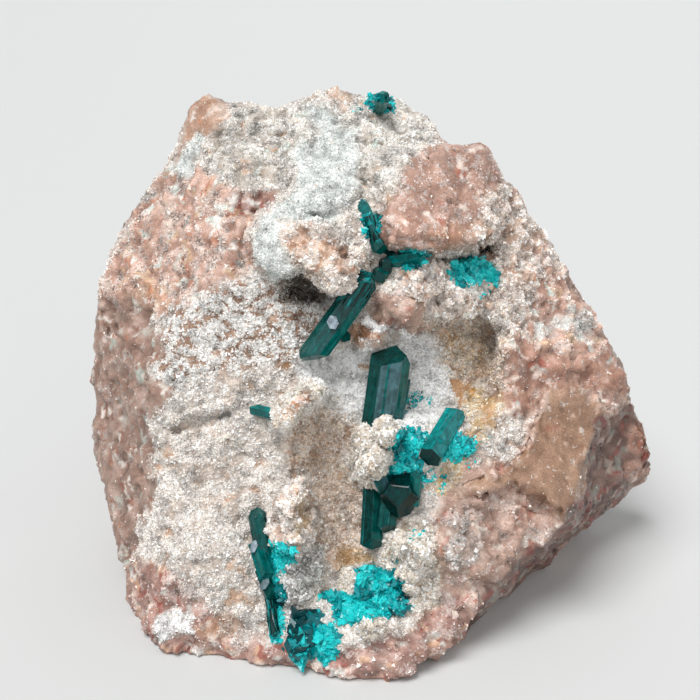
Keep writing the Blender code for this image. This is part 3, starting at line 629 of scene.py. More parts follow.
    Patch(GroundKind.PRISM_DRUSE, ((-23.8, -33.6), (-21.6, -32.4), (-19.6, -32.8), (-20.0, -35.2),
        (-21.8, -35.0), (-23.6, -36.2)), 1.2, 0.85),
    Patch(GroundKind.ORANGE, spot(-17.0, -34.6, 2.2, 1.5), 2.2, 0.8),
    Patch(GroundKind.FLESH_QUARTZ, ((8.8, -22.5), (12.5, -19.4), (16.8, -17.5), (21.2, -17.5),
        (25.2, -20.6), (23.8, -23.8), (19.9, -27.5), (15.0, -31.9), (12.8, -29.6), (10.0, -28.8),
        (8.0, -25.6)), 1.8),
    Patch(GroundKind.CLEAR_LUMPS, ((12.2, -21.9), (15.0, -21.0), (16.8, -22.8), (16.0, -26.2),
        (13.2, -27.0), (12.0, -24.4)), 1.6, 0.5),
    Patch(GroundKind.UNDERSIDE, ((29.8, -11.8), (31.2, -8.5), (35.6, -5.9), (39.1, -13.2),
        (38.2, -18.8), (32.6, -23.2), (27.0, -28.2), (23.4, -32.0), (17.2, -37.6), (12.8, -39.1),
        (14.8, -32.8), (20.2, -27.5), (24.4, -23.8), (27.0, -20.8), (29.2, -18.0)), 0.7),
    Patch(GroundKind.SHOULDER_PINK, spot(36.2, -10.8, 1.7, 2.0), 1.0, 0.9),
    Patch(GroundKind.SHOULDER_PINK, spot(36.4, -15.2, 1.6, 1.1), 1.0, 0.9),
    # Painted shade in the dark hole beside the pink plate
    Patch(GroundKind.SHADOWED, spot(16.9, 12.9, 1.0, 0.9), 0.4),
    Patch(GroundKind.CREAM_LUMPS, ((0.0, -11.0), (2.8, -8.5), (5.2, -8.0), (6.5, -9.8), (5.0, -12.5),
        (4.2, -16.0), (3.0, -17.8), (0.5, -16.2), (-0.5, -13.5)), 1.2),
    Patch(GroundKind.CREAM_LUMPS, ((4.2, -22.2), (7.8, -21.2), (10.2, -22.5), (11.5, -26.2),
        (11.2, -31.2), (8.8, -32.8), (6.8, -31.2), (5.2, -27.5), (2.8, -27.0), (3.8, -24.4)), 1.4),
    Patch(GroundKind.CREAM_LUMPS, ((-1.0, -27.8), (1.8, -27.0), (2.0, -30.0), (0.0, -31.0),
        (-1.8, -30.0)), 1.2),
    Patch(GroundKind.CREAM_LUMPS, ((0.8, -33.2), (3.5, -32.2), (4.5, -34.0), (3.2, -35.8),
        (1.0, -35.8)), 1.2),
    Patch(GroundKind.BROKEN_SIDE, ((-32.1, 6.2), (-24.5, 7.0), (-23.5, -0.8), (-24.5, -2.4),
        (-23.1, -4.8), (-23.6, -7.5), (-24.8, -9.0), (-24.2, -16.6), (-25.1, -19.6), (-26.2, -23.0),
        (-26.8, -26.5), (-28.5, -31.2), (-30.0, -26.2), (-32.8, -18.8), (-34.2, -11.2),
        (-34.2, -1.2)), 1.6),
)


@dataclass(frozen=True)
class Form:
    """A raised or sunken form of the show face.

    Args:
        outline: its outline on the sight plane.
        height: how far it stands towards the eye, in millimetres; hollows are negative.
        edge: how wide its edge is, in millimetres.
    """

    outline: Outline
    height: float
    edge: float

    def rise(self, a: np.ndarray, b: np.ndarray, ragged: np.ndarray) -> np.ndarray:
        """How far each place moves towards the eye, in millimetres."""
        return self.height * within(self.outline, self.edge, a, b, ragged)


# The forms of the show face: an outline, its height towards the eye and the width of its edge
FORMS = (
    # The rounded ledge with its lip, and the cavity under it
    Form(((-12.0, 13.8), (-11.5, 15.6), (-10.2, 16.8), (-8.1, 17.2), (-6.2, 17.2), (-4.0, 16.0),
        (-1.9, 14.0), (0.0, 11.0), (0.2, 8.5), (-0.6, 7.4), (-2.5, 7.5), (-4.4, 9.2), (-6.2, 10.1),
        (-7.8, 9.6), (-9.2, 9.0), (-11.0, 9.9), (-11.9, 11.8)), 3.4, 0.8),
    Form(((-8.0, 8.9), (-6.2, 9.9), (-4.4, 9.0), (-2.8, 7.2), (-1.5, 6.5), (-3.0, 5.5), (-5.5, 5.8),
        (-7.6, 6.8)), -5.0, 1.0),
    Form(((-6.8, 8.1), (-2.5, 6.2), (-1.0, 4.8), (-3.1, 3.1), (-6.2, 4.4), (-7.5, 6.2)), -0.9, 2.4),
    Form(((-13.0, 13.8), (-12.2, 15.2), (-11.0, 17.2), (-11.8, 17.8), (-13.2, 16.0), (-14.0, 13.1),
        (-12.8, 11.0)), -1.4, 0.9),
    # The chalky step and the hollows beside it
    Form(((-7.5, 25.0), (-6.2, 26.9), (-2.5, 28.0), (0.6, 26.5), (1.8, 23.1), (1.0, 19.4), (-1.9, 17.2),
        (-6.2, 17.0), (-7.8, 18.0), (-7.1, 20.6)), 1.1, 1.0),
    Form(((-16.0, 26.2), (-12.5, 27.8), (-8.8, 27.2), (-7.5, 25.0), (-7.5, 20.6), (-8.5, 17.8),
        (-11.0, 18.1), (-14.2, 20.2), (-16.0, 23.1)), -1.0, 3.0),
    Form(((-14.0, 19.0), (-12.2, 19.6), (-9.8, 19.1), (-9.2, 17.8), (-11.0, 16.2), (-13.0, 16.0),
        (-14.2, 17.5)), -1.1, 2.6),
    # The pink plate, the crack under its edge and the dark hole
    Form(((4.2, 18.1), (6.0, 20.0), (8.1, 24.0), (11.8, 25.6), (16.8, 25.9), (18.5, 23.8), (19.0, 20.0),
        (19.8, 18.1), (17.5, 14.2), (15.0, 12.6), (9.6, 12.4), (4.6, 13.1), (3.2, 15.2)), 1.9, 0.8),
    Form(((5.2, 12.2), (10.0, 11.8), (15.0, 11.8), (17.0, 13.0), (16.8, 12.0), (14.5, 10.9),
        (10.0, 10.9), (5.6, 11.2)), -3.0, 0.6),
    Form(((15.8, 13.8), (17.5, 14.1), (18.4, 13.0), (17.6, 11.6), (16.1, 11.9)), -6.0, 0.7),
    # The vug's right lip, and the white rim under the knob
    Form(((2.0, 4.4), (3.4, 3.1), (5.2, 2.8), (7.4, 2.1), (7.6, 1.5), (5.2, 2.0), (3.0, 2.2),
        (1.5, 3.8)), 0.9, 0.6),
    Form(((15.8, 6.5), (17.5, 6.0), (19.1, 3.5), (19.5, 0.6), (19.0, -2.2), (18.0, -2.2), (18.2, 0.6),
        (17.6, 3.2)), 1.4, 1.0),
    # The nose below the smooth break, and its crease
    Form(SMOOTH_BREAK, 1.8, 0.7),
    Form(((31.2, -9.2), (34.0, -7.8), (36.2, -9.4), (37.5, -12.5), (36.2, -16.2), (32.8, -18.2),
        (29.4, -20.2), (30.2, -16.2), (30.9, -12.2)), -1.4, 0.7),
    Form(((21.2, -16.9), (24.4, -19.0), (26.5, -20.1), (26.2, -20.9), (24.1, -20.0),
        (21.0, -17.8)), -1.4, 0.8),
    # The small lip in the left field and the crevice in the left side
    Form(((-22.8, -8.8), (-20.0, -7.4), (-17.0, -6.8), (-14.5, -5.9), (-14.2, -6.8), (-16.9, -7.6),
        (-19.8, -8.2), (-22.5, -9.6)), 0.7, 0.8),
    Form(((-22.5, -10.0), (-20.0, -8.6), (-16.9, -8.0), (-14.8, -7.1), (-14.9, -8.2), (-17.1, -9.1),
        (-19.9, -9.8), (-22.2, -10.9)), -1.3, 0.7),
    Form(((-31.5, 5.2), (-30.8, 5.1), (-29.2, 3.0), (-29.0, 2.0), (-30.0, 2.5),
        (-31.1, 3.9)), -1.6, 0.8),
    # The finger and ridge knobs
    Form(((-9.4, -9.2), (-10.0, -7.6), (-8.2, -5.9), (-5.9, -4.2), (-3.6, -4.0), (-3.0, -5.1),
        (-4.8, -6.5), (-7.0, -8.8), (-8.2, -9.8)), 3.6, 0.8),
    Form(((-10.2, -19.8), (-8.8, -17.5), (-6.2, -16.5), (-4.9, -18.5), (-4.5, -22.2), (-4.9, -24.8),
        (-6.5, -25.5), (-8.8, -24.9), (-10.6, -22.8)), 3.6, 0.7),
    # Lumps around the vein and the vug
    Form(spot(8.9, 9.1, 2.5, 2.1), 1.6, 2.3),
    Form(spot(14.0, 6.2, 2.2, 3.0), 1.5, 2.5),
    Form(spot(6.8, 5.2, 3.0, 2.5), 2.0, 2.8),
    Form(spot(2.6, 1.1, 1.8, 1.1), 2.2, 1.2),
    Form(spot(-1.5, 15.0, 1.5, 1.2), 0.8, 1.4),
    Form(spot(14.8, 1.2, 2.0, 2.5), 1.6, 2.2),
    # Lumps of cream and clear druse
    Form(spot(2.5, -13.5, 1.9, 2.1), 2.6, 2.1),
    Form(spot(4.8, -9.9, 1.6, 1.4), 3.4, 1.5),
    Form(spot(1.8, -10.9, 1.2, 1.2), 2.2, 1.4),
    Form(spot(3.5, -16.0, 1.1, 1.1), 1.6, 1.2),
    Form(spot(5.6, -12.8, 1.1, 1.1), 1.4, 1.2),
    Form(spot(6.0, -23.9, 1.5, 1.5), 2.2, 1.7),
    Form(spot(8.5, -25.8, 1.6, 1.6), 2.0, 1.8),
    Form(spot(7.8, -28.8, 1.6, 1.5), 2.0, 1.7),
    Form(spot(5.4, -31.6, 1.5, 1.1), 1.2, 1.2),
    Form(spot(0.5, -28.8, 1.4, 1.5), 1.4, 1.5),
    Form(spot(2.4, -34.1, 1.4, 1.4), 1.4, 1.5),
    Form(spot(-7.9, -26.2, 1.6, 1.4), 1.1, 1.5),
    Form(spot(-5.4, -28.0, 1.4, 1.4), 1.1, 1.5),
    Form(spot(-7.6, -30.0, 1.6, 1.4), 1.0, 1.5),
    Form(spot(-15.5, 6.2, 2.5, 2.0), 0.5, 2.2),
    Form(spot(-1.9, -26.2, 1.1, 0.9), 0.8, 1.0),
)


@dataclass(frozen=True)
class RockScales:
    """How large the forms and patterns of the rock are, in millimetres.

    Args:
        bay: bays in the edges of the grounds.
        nick: nicks in those edges.
        fray: nicks in the edges of the forms.
        vein: veins of another colour on the back and sides.
        clump: large clumps of druse.
        tuft: small clumps of druse.
        knob: broken knobs.
        pit: pits between the crumbs.
        crumb: crumbs.
        chip: large chips.
        splinter: small chips.
        bend: bends in the chips' outlines.
        cloud: clouds in the colour.
        fleck: flecks of another colour.
        crystal: crystals of one colour in the flecks.
        crook: bends in the crystals' outlines.
    """

    bay: float = 4.6
    nick: float = 1.3
    fray: float = 1.7
    vein: float = 14.0
    clump: float = 2.1
    tuft: float = 1.0
    knob: float = 5.0
    pit: float = 1.9
    crumb: float = 1.1
    chip: float = 4.2
    splinter: float = 1.4
    bend: float = 2.4
    cloud: float = 2.6
    fleck: float = 2.2
    crystal: float = 1.7
    crook: float = 1.1


@dataclass
class RockSkin:
    """The surface of the matrix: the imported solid, smoothed and given its relief.

    Args:
        voxel: spacing of the skin's points on the back and sides, in millimetres.
        smoothing: rounds of smoothing that take the solid's facets away.
        facing: how much a surface has to face the eye to be refined.
        foot: height of the band over the base in which the relief fades out, in millimetres.
        flat: height of the band that is pressed flat on the base, in millimetres.
        sharp_edge: edges of grounds narrower than this wander less, in millimetres.
        full_crumb: height of crumb at which its shade is full, in millimetres.
        smooth_facets: height of facets below which the rock is shaded smooth, in millimetres.
        scales: how large its forms and patterns are.
        noise: the noise of its large forms.
        grain_noise: the noise of its fine ones.
    """

    voxel: float = 0.76
    smoothing: int = 3
    facing: float = 0.1
    foot: float = 0.6
    flat: float = 0.12
    sharp_edge: float = 1.4
    full_crumb: float = 0.2
    smooth_facets: float = 0.04
    scales: RockScales = RockScales()
    noise: Noise = field(default_factory=lambda: Noise(4711))
    grain_noise: Noise = field(default_factory=lambda: Noise(815))

    def build(self) -> bpy.types.Object:
        """Models the skin and dresses it.

        Returns:
            The skin's object.
        """
        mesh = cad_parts["matrix"].data.copy()
        mesh.name = "rock_skin"
        mesh.materials.clear()
        self.piece = add_object("rock_skin", mesh)
        self.remesh()
        self.refine()
        self.paint()
        self.shape()
        self.relief()
        self.dress()
        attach(self.piece, "root")
        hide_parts("matrix")
        return self.piece

    def remesh(self) -> None:
        """Turns the merged solid to an even net of quads."""
        bm = bmesh.new()
        bm.from_mesh(self.piece.data)
        bmesh.ops.remove_doubles(bm, verts=bm.verts[:], dist=1e-6)
        bm.to_mesh(self.piece.data)
        self.solid = BVHTree.FromBMesh(bm)
        bm.free()
        net = self.piece.modifiers.new("net", "REMESH")
        net.mode = "VOXEL"
        net.voxel_size = self.voxel * MM
        graph = bpy.context.evaluated_depsgraph_get()
        made = bpy.data.meshes.new_from_object(self.piece.evaluated_get(graph))
        made.name = "rock_skin"
        self.piece.modifiers.clear()
        self.piece.data = made

    def refine(self) -> None:
        """Smooths the facets away and makes the net finer where the show face is."""
        bm = bmesh.new()
        bm.from_mesh(self.piece.data)
        self.soften(bm, self.smoothing)
        bm.normal_update()
        eye = Vector(SIGHT.eye) * MM
        front = [
            face for face in bm.faces
            if face.normal.dot((eye - face.calc_center_median()).normalized()) > self.facing
        ]
        edges = {edge for face in front for edge in face.edges}
        edges = sorted(edges, key=lambda edge: edge.index)
        bmesh.ops.subdivide_edges(bm, edges=edges, cuts=1, use_grid_fill=True)
        bmesh.ops.triangulate(bm, faces=bm.faces[:])
        self.soften(bm, 1)
        bm.to_mesh(self.piece.data)
        bm.free()

    @staticmethod
    def soften(bm: bmesh.types.BMesh, rounds: int) -> None:
        """Smooths all points of a bmesh."""
        for _ in range(rounds):
            bmesh.ops.smooth_vert(
                bm, verts=bm.verts[:], factor=0.5, use_axis_x=True, use_axis_y=True, use_axis_z=True
            )

    def read(self) -> None:
        """Reads the points and their normals, in millimetres."""
        mesh = self.piece.data
        count = len(mesh.vertices)
        points, normals = np.empty(count * 3), np.empty(count * 3)
        mesh.vertices.foreach_get("co", points)
        mesh.vertex_normals.foreach_get("vector", normals)
        self.points = points.reshape(-1, 3) / MM
        self.normals = normals.reshape(-1, 3)
        corners = np.empty(len(mesh.polygons) * 3, np.int64)
        mesh.polygons.foreach_get("vertices", corners)
        self.corners = corners.reshape(-1, 3)

    def move(self, points: np.ndarray) -> None:
        """Moves the skin's points, keeps the base flat, and reads the skin again."""
        lowest = np.where(points[:, 2] < self.flat, 0.0, points[:, 2])
        points = np.column_stack((points[:, :2], lowest))
        self.piece.data.vertices.foreach_set("co", (points * MM).ravel())
        self.piece.data.update()
        self.read()

    def paint(self) -> None:
        """Works out how much of each ground every point has, and where druse covers it."""
        self.read()
        a, b, _ = SIGHT.project(self.points)
        self.to_eye = np.array(SIGHT.eye) - self.points
        self.to_eye /= np.linalg.norm(self.to_eye, axis=1)[:, None]
        self.facing_eye = np.einsum("ij,ij->i", self.normals, self.to_eye)
        seen = smooth_step(self.facing_eye / 0.12 + 0.5)
        scales = self.scales
        ragged = 1.1 * self.noise.layered(self.points, scales.bay, 2)
        ragged += 0.55 * self.noise.at(self.points, scales.nick)
        kinds = list(GroundKind)
        self.shares = np.zeros((len(self.points), len(kinds)))
        self.shares[:, kinds.index(GroundKind.WHITE_SUGAR)] = 1.0
        stains = (
            Patch(GroundKind.COPPER_STAIN, crust.outline, 0.4)
            for group in DIOPTASE for crust in group.crusts
        )
        for patch in itertools.chain(PATCHES, stains):
            loose = min(1.0, patch.edge / self.sharp_edge)
            cover = patch.cover(a, b, ragged * loose)[:, None]
            self.shares *= 1.0 - cover
            self.shares[:, kinds.index(patch.kind)] += cover[:, 0]
        hidden = (1.0 - seen)[:, None]
        self.shares *= 1.0 - hidden
        veins = self.noise.layered(self.points + 50.0, scales.vein)
        veined = smooth_step(1.6 * veins - 0.1)[:, None]
        for kind, share in (
            (GroundKind.BROKEN_SIDE, hidden * (1.0 - veined)),
            (GroundKind.SHOULDER_PINK, hidden * veined),
        ):
            self.shares[:, kinds.index(kind)] += share[:, 0]
        fine = self.grain_noise.layered(self.points, scales.tuft, 2)
        coarse = self.grain_noise.layered(self.points + 40.0, scales.clump, 3)
        coarseness = np.clip(self.blended("clump") - 0.9, 0.0, 1.0)
        clumps = fine + (coarse - fine) * coarseness
        spread = np.sort(clumps[::5])
        edge = np.interp(1.0 - self.blended("cover"), np.linspace(0.0, 1.0, len(spread)), spread)
        self.covered = smooth_step((clumps - edge) / 0.3 + 0.5)

    def blended(self, name: str) -> np.ndarray:
        """One property of the grounds, blended for each point."""
        return self.shares @ np.array([getattr(kind.value, name) for kind in GroundKind])

    def wobble(self, size: float) -> np.ndarray:
        """A smooth random shift of each point, with lumps of a size in millimetres."""
        return np.stack([self.noise.at(self.points + shift, size) for shift in (3, 7, 11)], 1)

    def shape(self) -> None:
        """Gives the show face its raised and sunken forms."""
        a, b, _ = SIGHT.project(self.points)
        ragged = 0.35 * self.noise.at(self.points + 5.0, self.scales.fray)
        mounds = (
            Form(crust.outline, 0.4 * crust.lift, 1.2)
            for group in DIOPTASE for crust in group.crusts
        )
        rise = sum(form.rise(a, b, ragged) for form in itertools.chain(FORMS, mounds))
        rise *= smooth_step(self.facing_eye / 0.3) * smooth_step(self.points[:, 2] / self.foot)
        self.move(self.points + self.to_eye * rise[:, None])

    def relief(self) -> None:
        """Gives the skin its knobs, lumps, crumbs and fine facets, and works out the painted shade of
        its pits and chips.
        """
        noise, scales = self.grain_noise, self.scales
        knobs = 1.0 - 2.0 * np.abs(self.noise.layered(self.points + 12.0, scales.knob, 3))
        rise = self.blended("crag") * (knobs - 0.4)
        crumb = self.blended("crumb")
        crumbs = noise.lumps(self.points, scales.crumb) - 0.6
        pits = noise.layered(self.points, scales.pit, 3) + 1.2 * crumbs
        rise += crumb * pits
        warped = self.points + 0.9 * self.wobble(scales.bend)
        crumbly = crumb / self.full_crumb
        splinters = 0.4 * noise.chips(warped, scales.splinter) * np.clip(crumbly, 0.0, 1.0)
        chips = 1.2 * self.noise.chips(warped, scales.chip) + splinters
        rise += self.blended("chip") * chips
        # Painted shade and light: pits between the crumbs are darkened, and chips are made lighter or
        # darker with their tilt and height; rock and druse colours are multiplied by this
        self.light = 1.0 + np.clip(crumbly, 0.0, 1.2) * np.clip(0.3 * pits, -0.3, 0.12)
        self.light += 0.16 * np.clip(self.blended("chip") * 3.0, 0.0, 1.0) * chips
        for kind, share in zip(GroundKind, self.shares.T):
            if kind.value.lump:
                lumps = noise.lumps(self.points, kind.value.lump_size) - 0.5
                rise += share * kind.value.lump * lumps
        rise += 0.12 * self.covered * smooth_step(self.blended("facets") / 0.06)
        rng = np.random.default_rng(99)
        facets = self.blended("facets")[:, None] * rng.uniform(-1.0, 1.0, self.points.shape)
        above = smooth_step(self.points[:, 2] / self.foot)[:, None]
        self.move(self.points + (self.normals * rise[:, None] + facets) * above)
        vertices = [Vector(point) for point in self.points * MM]
        self.tree = BVHTree.FromPolygons(vertices, self.corners.tolist())

    def rock_colours(self) -> np.ndarray:
        """The bare rock's colour at each point, linear, with the painted shade of its pits and chips.
        """
        scales = self.scales
        tone = (0.5 + 0.46 * self.noise.layered(self.points + 9.0, scales.cloud, 4))[:, None]
        fleck = self.grain_noise.layered(self.points + 31.0, scales.fleck, 3)[:, None]
        bent = self.points + 0.6 * self.wobble(scales.crook)
        choice = self.noise.values[self.noise.cells(bent, scales.crystal)[0]]
        lower, upper = np.clip(tone * 2.0, 0.0, 1.0), np.clip(tone * 2.0 - 1.0, 0.0, 1.0)
        rock = np.zeros((len(self.points), 3))
        for kind, share in zip(GroundKind, self.shares.T):
            ground = kind.value
            low, middle, high = (np.array(linear(colour)) for colour in ground.colours)
            mixed = low + (middle - low) * lower + (high - middle) * upper
            if ground.specks:
                edge = np.quantile(fleck, 1.0 - ground.speck_share)
                palette = np.array([linear(colour) for colour in ground.specks])
                which = (choice * len(palette)).astype(int)
                mixed = mixed + (palette[which] - mixed) * 0.85 * smooth_step((fleck - edge) / 0.2)
            rock += share[:, None] * mixed
        # Painted shade of the pits and chips
        return rock * self.light[:, None]

    def dress(self) -> None:
        """Paints the skin's facets, painted shade included, and gives it its material."""
        rng = np.random.default_rng(7)
        self.rock = self.rock_colours()
        rock = self.rock[self.corners]
        shares = self.shares[self.corners].mean(axis=1)
        covered = self.covered[self.corners].mean(axis=1)
        druse = np.zeros((len(self.corners), 3))
        pick = rng.random(len(self.corners))
        for kind, share in zip(GroundKind, shares.T):
            palette = np.array([linear(colour) for colour in kind.value.grain_colours])
            druse += share[:, None] * palette[(pick * len(palette)).astype(int)]
        tinge = self.blended("tinge")[self.corners].mean(axis=1)[:, None]
        # Painted shade: the druse painted on the skin is kept darker than the grains, as shade between
        # them, and takes the painted shade of the pits and chips
        shade = 0.85 * self.light[self.corners].mean(axis=1)[:, None]
        druse = (druse + (rock.mean(axis=1) - druse) * tinge) * shade
        grained = (covered > rng.random(len(covered)))[:, None, None]
        facets = self.blended("facets")[self.corners].mean(axis=1)
        uneven = np.clip(facets * 2.5, 0.02, 0.2) * rng.uniform(-1.0, 0.8, len(facets))
        colours = np.ones((len(self.corners), 3, 4))
        colours[:, :, :3] = np.where(grained, druse[:, None, :], rock)
        colours[:, :, :3] *= 1.0 + uneven[:, None, None]
        mesh = self.piece.data
        paint = mesh.color_attributes.new("rock_colour", "FLOAT_COLOR", "CORNER")
        paint.data.foreach_set("color", colours.ravel())
        matt = mesh.attributes.new("matt", "FLOAT", "POINT")
        matt.data.foreach_set("value", self.blended("roughness"))
        mesh.polygons.foreach_set("use_smooth", facets < self.smooth_facets)
        mesh.update()
        mesh.materials.append(BrokenRock().make())

    def on_solid(self, a: float, b: float, lift: float) -> Vector:
        """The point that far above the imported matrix, towards the eye."""
        return self.meet(self.solid, a, b, lift)

    def on_skin(self, a: float, b: float, lift: float) -> Vector:
        """The point that far above the finished skin, towards the eye."""
        return self.meet(self.tree, a, b, lift)

    @staticmethod
    def meet(tree: BVHTree, a: float, b: float, lift: float) -> Vector:
        """Meets a surface along the line of sight at a place on the sight plane.

        Args:
            tree: the surface.
            a: the place across.
            b: the place up.
            lift: how far over the surface the point is, in millimetres.

        Returns:
            The point, in metres.
        """
        eye = Vector(SIGHT.eye) * MM
        found = tree.ray_cast(eye, (SIGHT.place(a, b, 0.0) - eye).normalized())[0]
        if found is None:
            found = tree.find_nearest(SIGHT.place(a, b, 0.0))[0]
        depth = SIGHT.project(np.array([found]) / MM)[2][0]
        return SIGHT.place(a, b, depth + lift)

    def normal_at(self, point: Vector) -> Vector:
        """The way the skin faces near a point."""
        return self.tree.find_nearest(point)[1]


@dataclass(frozen=True)
class Mottle:
    """A pattern that darkens and lightens a finish.

    Args:
        size: how large it is, in units of the coordinates that it follows.
        detail: how many finer layers it has.
        roughness: how strong the finer layers are.
        distortion: how far it is twisted.
        reads: the pattern's values that give the darkest and the lightest shade.
        shades: those two shades, as shares of the colour.
    """

    size: float
    detail: float
    roughness: float = 0.5
    distortion: float = 0.0
    reads: tuple[float, float] = (0.3, 0.7)
    shades: tuple[float, float] = (0.8, 1.2)

    def spread(
        self, tree: bpy.types.NodeTree, vector: bpy.types.NodeSocket
    ) -> tuple[bpy.types.NodeSocket, bpy.types.NodeSocket]:
        """Adds the pattern to a material.

        Args:
            tree: the material's tree.
            vector: the coordinates that the pattern follows.

        Returns:
            The pattern's value, and the shade that it gives.
        """
        pattern = add_node(
            tree, "ShaderNodeTexNoise",
            values={
                "Scale": 1.0 / self.size, "Detail": self.detail,
                "Roughness": self.roughness, "Distortion": self.distortion,
            },
            links={"Vector": vector},
        ).outputs["Fac"]
        values = dict(zip(("From Min", "From Max", "To Min", "To Max"), self.reads + self.shades))
        shade = add_node(tree, "ShaderNodeMapRange", values=values, links={"Value": pattern})
        return pattern, shade.outputs["Result"]


@dataclass(frozen=True)
class Finish:
    """What the finishes of the specimen share: a painted colour that mottles shade.

    Args:
        name: the material's name.
        paint: the attribute that holds the colour.
        ior: its index of refraction.
    """

    name: str
    ior: float
    paint: str = "tint"

    def start(self) -> tuple[bpy.types.Material, bpy.types.NodeTree]:
        """Makes the material with an empty tree."""
        made = bpy.data.materials.new(self.name)
        made.use_nodes = True
        made.node_tree.nodes.clear()
        return made, made.node_tree

    def shaded(
        self, tree: bpy.types.NodeTree, *shades: bpy.types.NodeSocket
    ) -> bpy.types.NodeSocket:
        """The painted colour multiplied by one or two shades."""
        tone = shades[0]
        for shade in shades[1:]:
            tone = add_node(
                tree, "ShaderNodeMath", {"operation": "MULTIPLY"}, links={0: tone, 1: shade}
            ).outputs["Value"]
        paint = add_node(tree, "ShaderNodeAttribute", {"attribute_name": self.paint})
        return add_node(
            tree, "ShaderNodeVectorMath", {"operation": "SCALE"},
            links={0: paint.outputs["Color"], "Scale": tone},
        ).outputs["Vector"]

    def close(self, tree: bpy.types.NodeTree, values: dict, links: dict, inside: dict) -> None:
        """Ends a material in its shader.

        Args:
            tree: the material's tree.
            values: values for the shader's sockets, next to the IOR.
            links: output sockets to link to them.
            inside: the output socket of what fills the crystal, if something does.
        """
        shader = add_node(
            tree, "ShaderNodeBsdfPrincipled", values={"IOR": self.ior} | values, links=links
        )
        surface = {"Surface": shader.outputs["BSDF"]}
        add_node(tree, "ShaderNodeOutputMaterial", links=surface | inside)


@dataclass(frozen=True)
class BrokenRock(Finish):
    """Quartz and feldspar rock, freshly broken: waxy pink to tan with a fine grain.

    Args:
        grain: its crystal grain.
        blotch: its cloudy blotches.
        uneven: how much its roughness varies with the grain.
        bump: how strong the grain's relief is.
        depth: how deep it is, in metres.
    """

    name: str = "broken_rock"
    ior: float = 1.54
    paint: str = "rock_colour"
    grain: Mottle = Mottle(0.22 * MM, 3.0, 0.65, shades=(0.72, 1.22))
    blotch: Mottle = Mottle(0.7 * MM, 4.0, 0.6, shades=(0.86, 1.12))
    uneven: float = 0.3
    bump: float = 0.55
    depth: float = 0.12 * MM

    def make(self) -> bpy.types.Material:
        """Builds the material."""
        made, tree = self.start()
        place = add_node(tree, "ShaderNodeTexCoord").outputs["Object"]
        grain, shade = self.grain.spread(tree, place)
        _, blotch = self.blotch.spread(tree, place)
        matt = add_node(tree, "ShaderNodeAttribute", {"attribute_name": "matt"})
        gloss = add_node(
            tree, "ShaderNodeMath", {"operation": "MULTIPLY_ADD"},
            {1: self.uneven, 2: -0.5 * self.uneven}, {0: grain},
        )
        rough = add_node(
            tree, "ShaderNodeMath", {"operation": "ADD"},
            links={0: matt.outputs["Fac"], 1: gloss.outputs["Value"]},
        )
        bump = add_node(
            tree, "ShaderNodeBump", values={"Strength": self.bump, "Distance": self.depth},
            links={"Height": grain},
        )
        self.close(tree, {}, {
            "Base Color": self.shaded(tree, shade, blotch),
            "Roughness": rough.outputs["Value"],
            "Normal": bump.outputs["Normal"],
        }, {})
        return made


@dataclass(frozen=True)
class SmallCrystals(Finish):
    """Small crystals with glassy faces, cloudy inside.

    Args:
        cloud: the clouds inside.
        roughness: how matt their faces are.
        clearness: how much light goes through them.
        mirroring: how strongly their faces mirror.
    """

    cloud: Mottle = Mottle(0.25 * MM, 2.0, shades=(0.85, 1.08))
    roughness: float = 0.2
    clearness: float = 0.0
    mirroring: float = 0.5

    def make(self) -> bpy.types.Material:
        """Builds the material."""
        made, tree = self.start()
        place = add_node(tree, "ShaderNodeTexCoord").outputs["Object"]
        _, shade = self.cloud.spread(tree, place)
        values = {
            "Roughness": self.roughness, "Transmission Weight": self.clearness,
            "Specular IOR Level": self.mirroring,
        }
        self.close(tree, values, {"Base Color": self.shaded(tree, shade)}, {})
        return made


# Sugary druse of quartz: points so small that they look milky, with faces that glitter
DRUSY_QUARTZ = SmallCrystals("drusy_quartz", 1.544)

# Dioptase in crusts of small blades: so thin that light makes it a bright turquoise
TURQUOISE_DIOPTASE = SmallCrystals(
    "turquoise_dioptase", 1.66, cloud=Mottle(0.3 * MM, 3.0, shades=(0.7, 1.25)),
    roughness=0.22, clearness=0.2, mirroring=0.2,
)


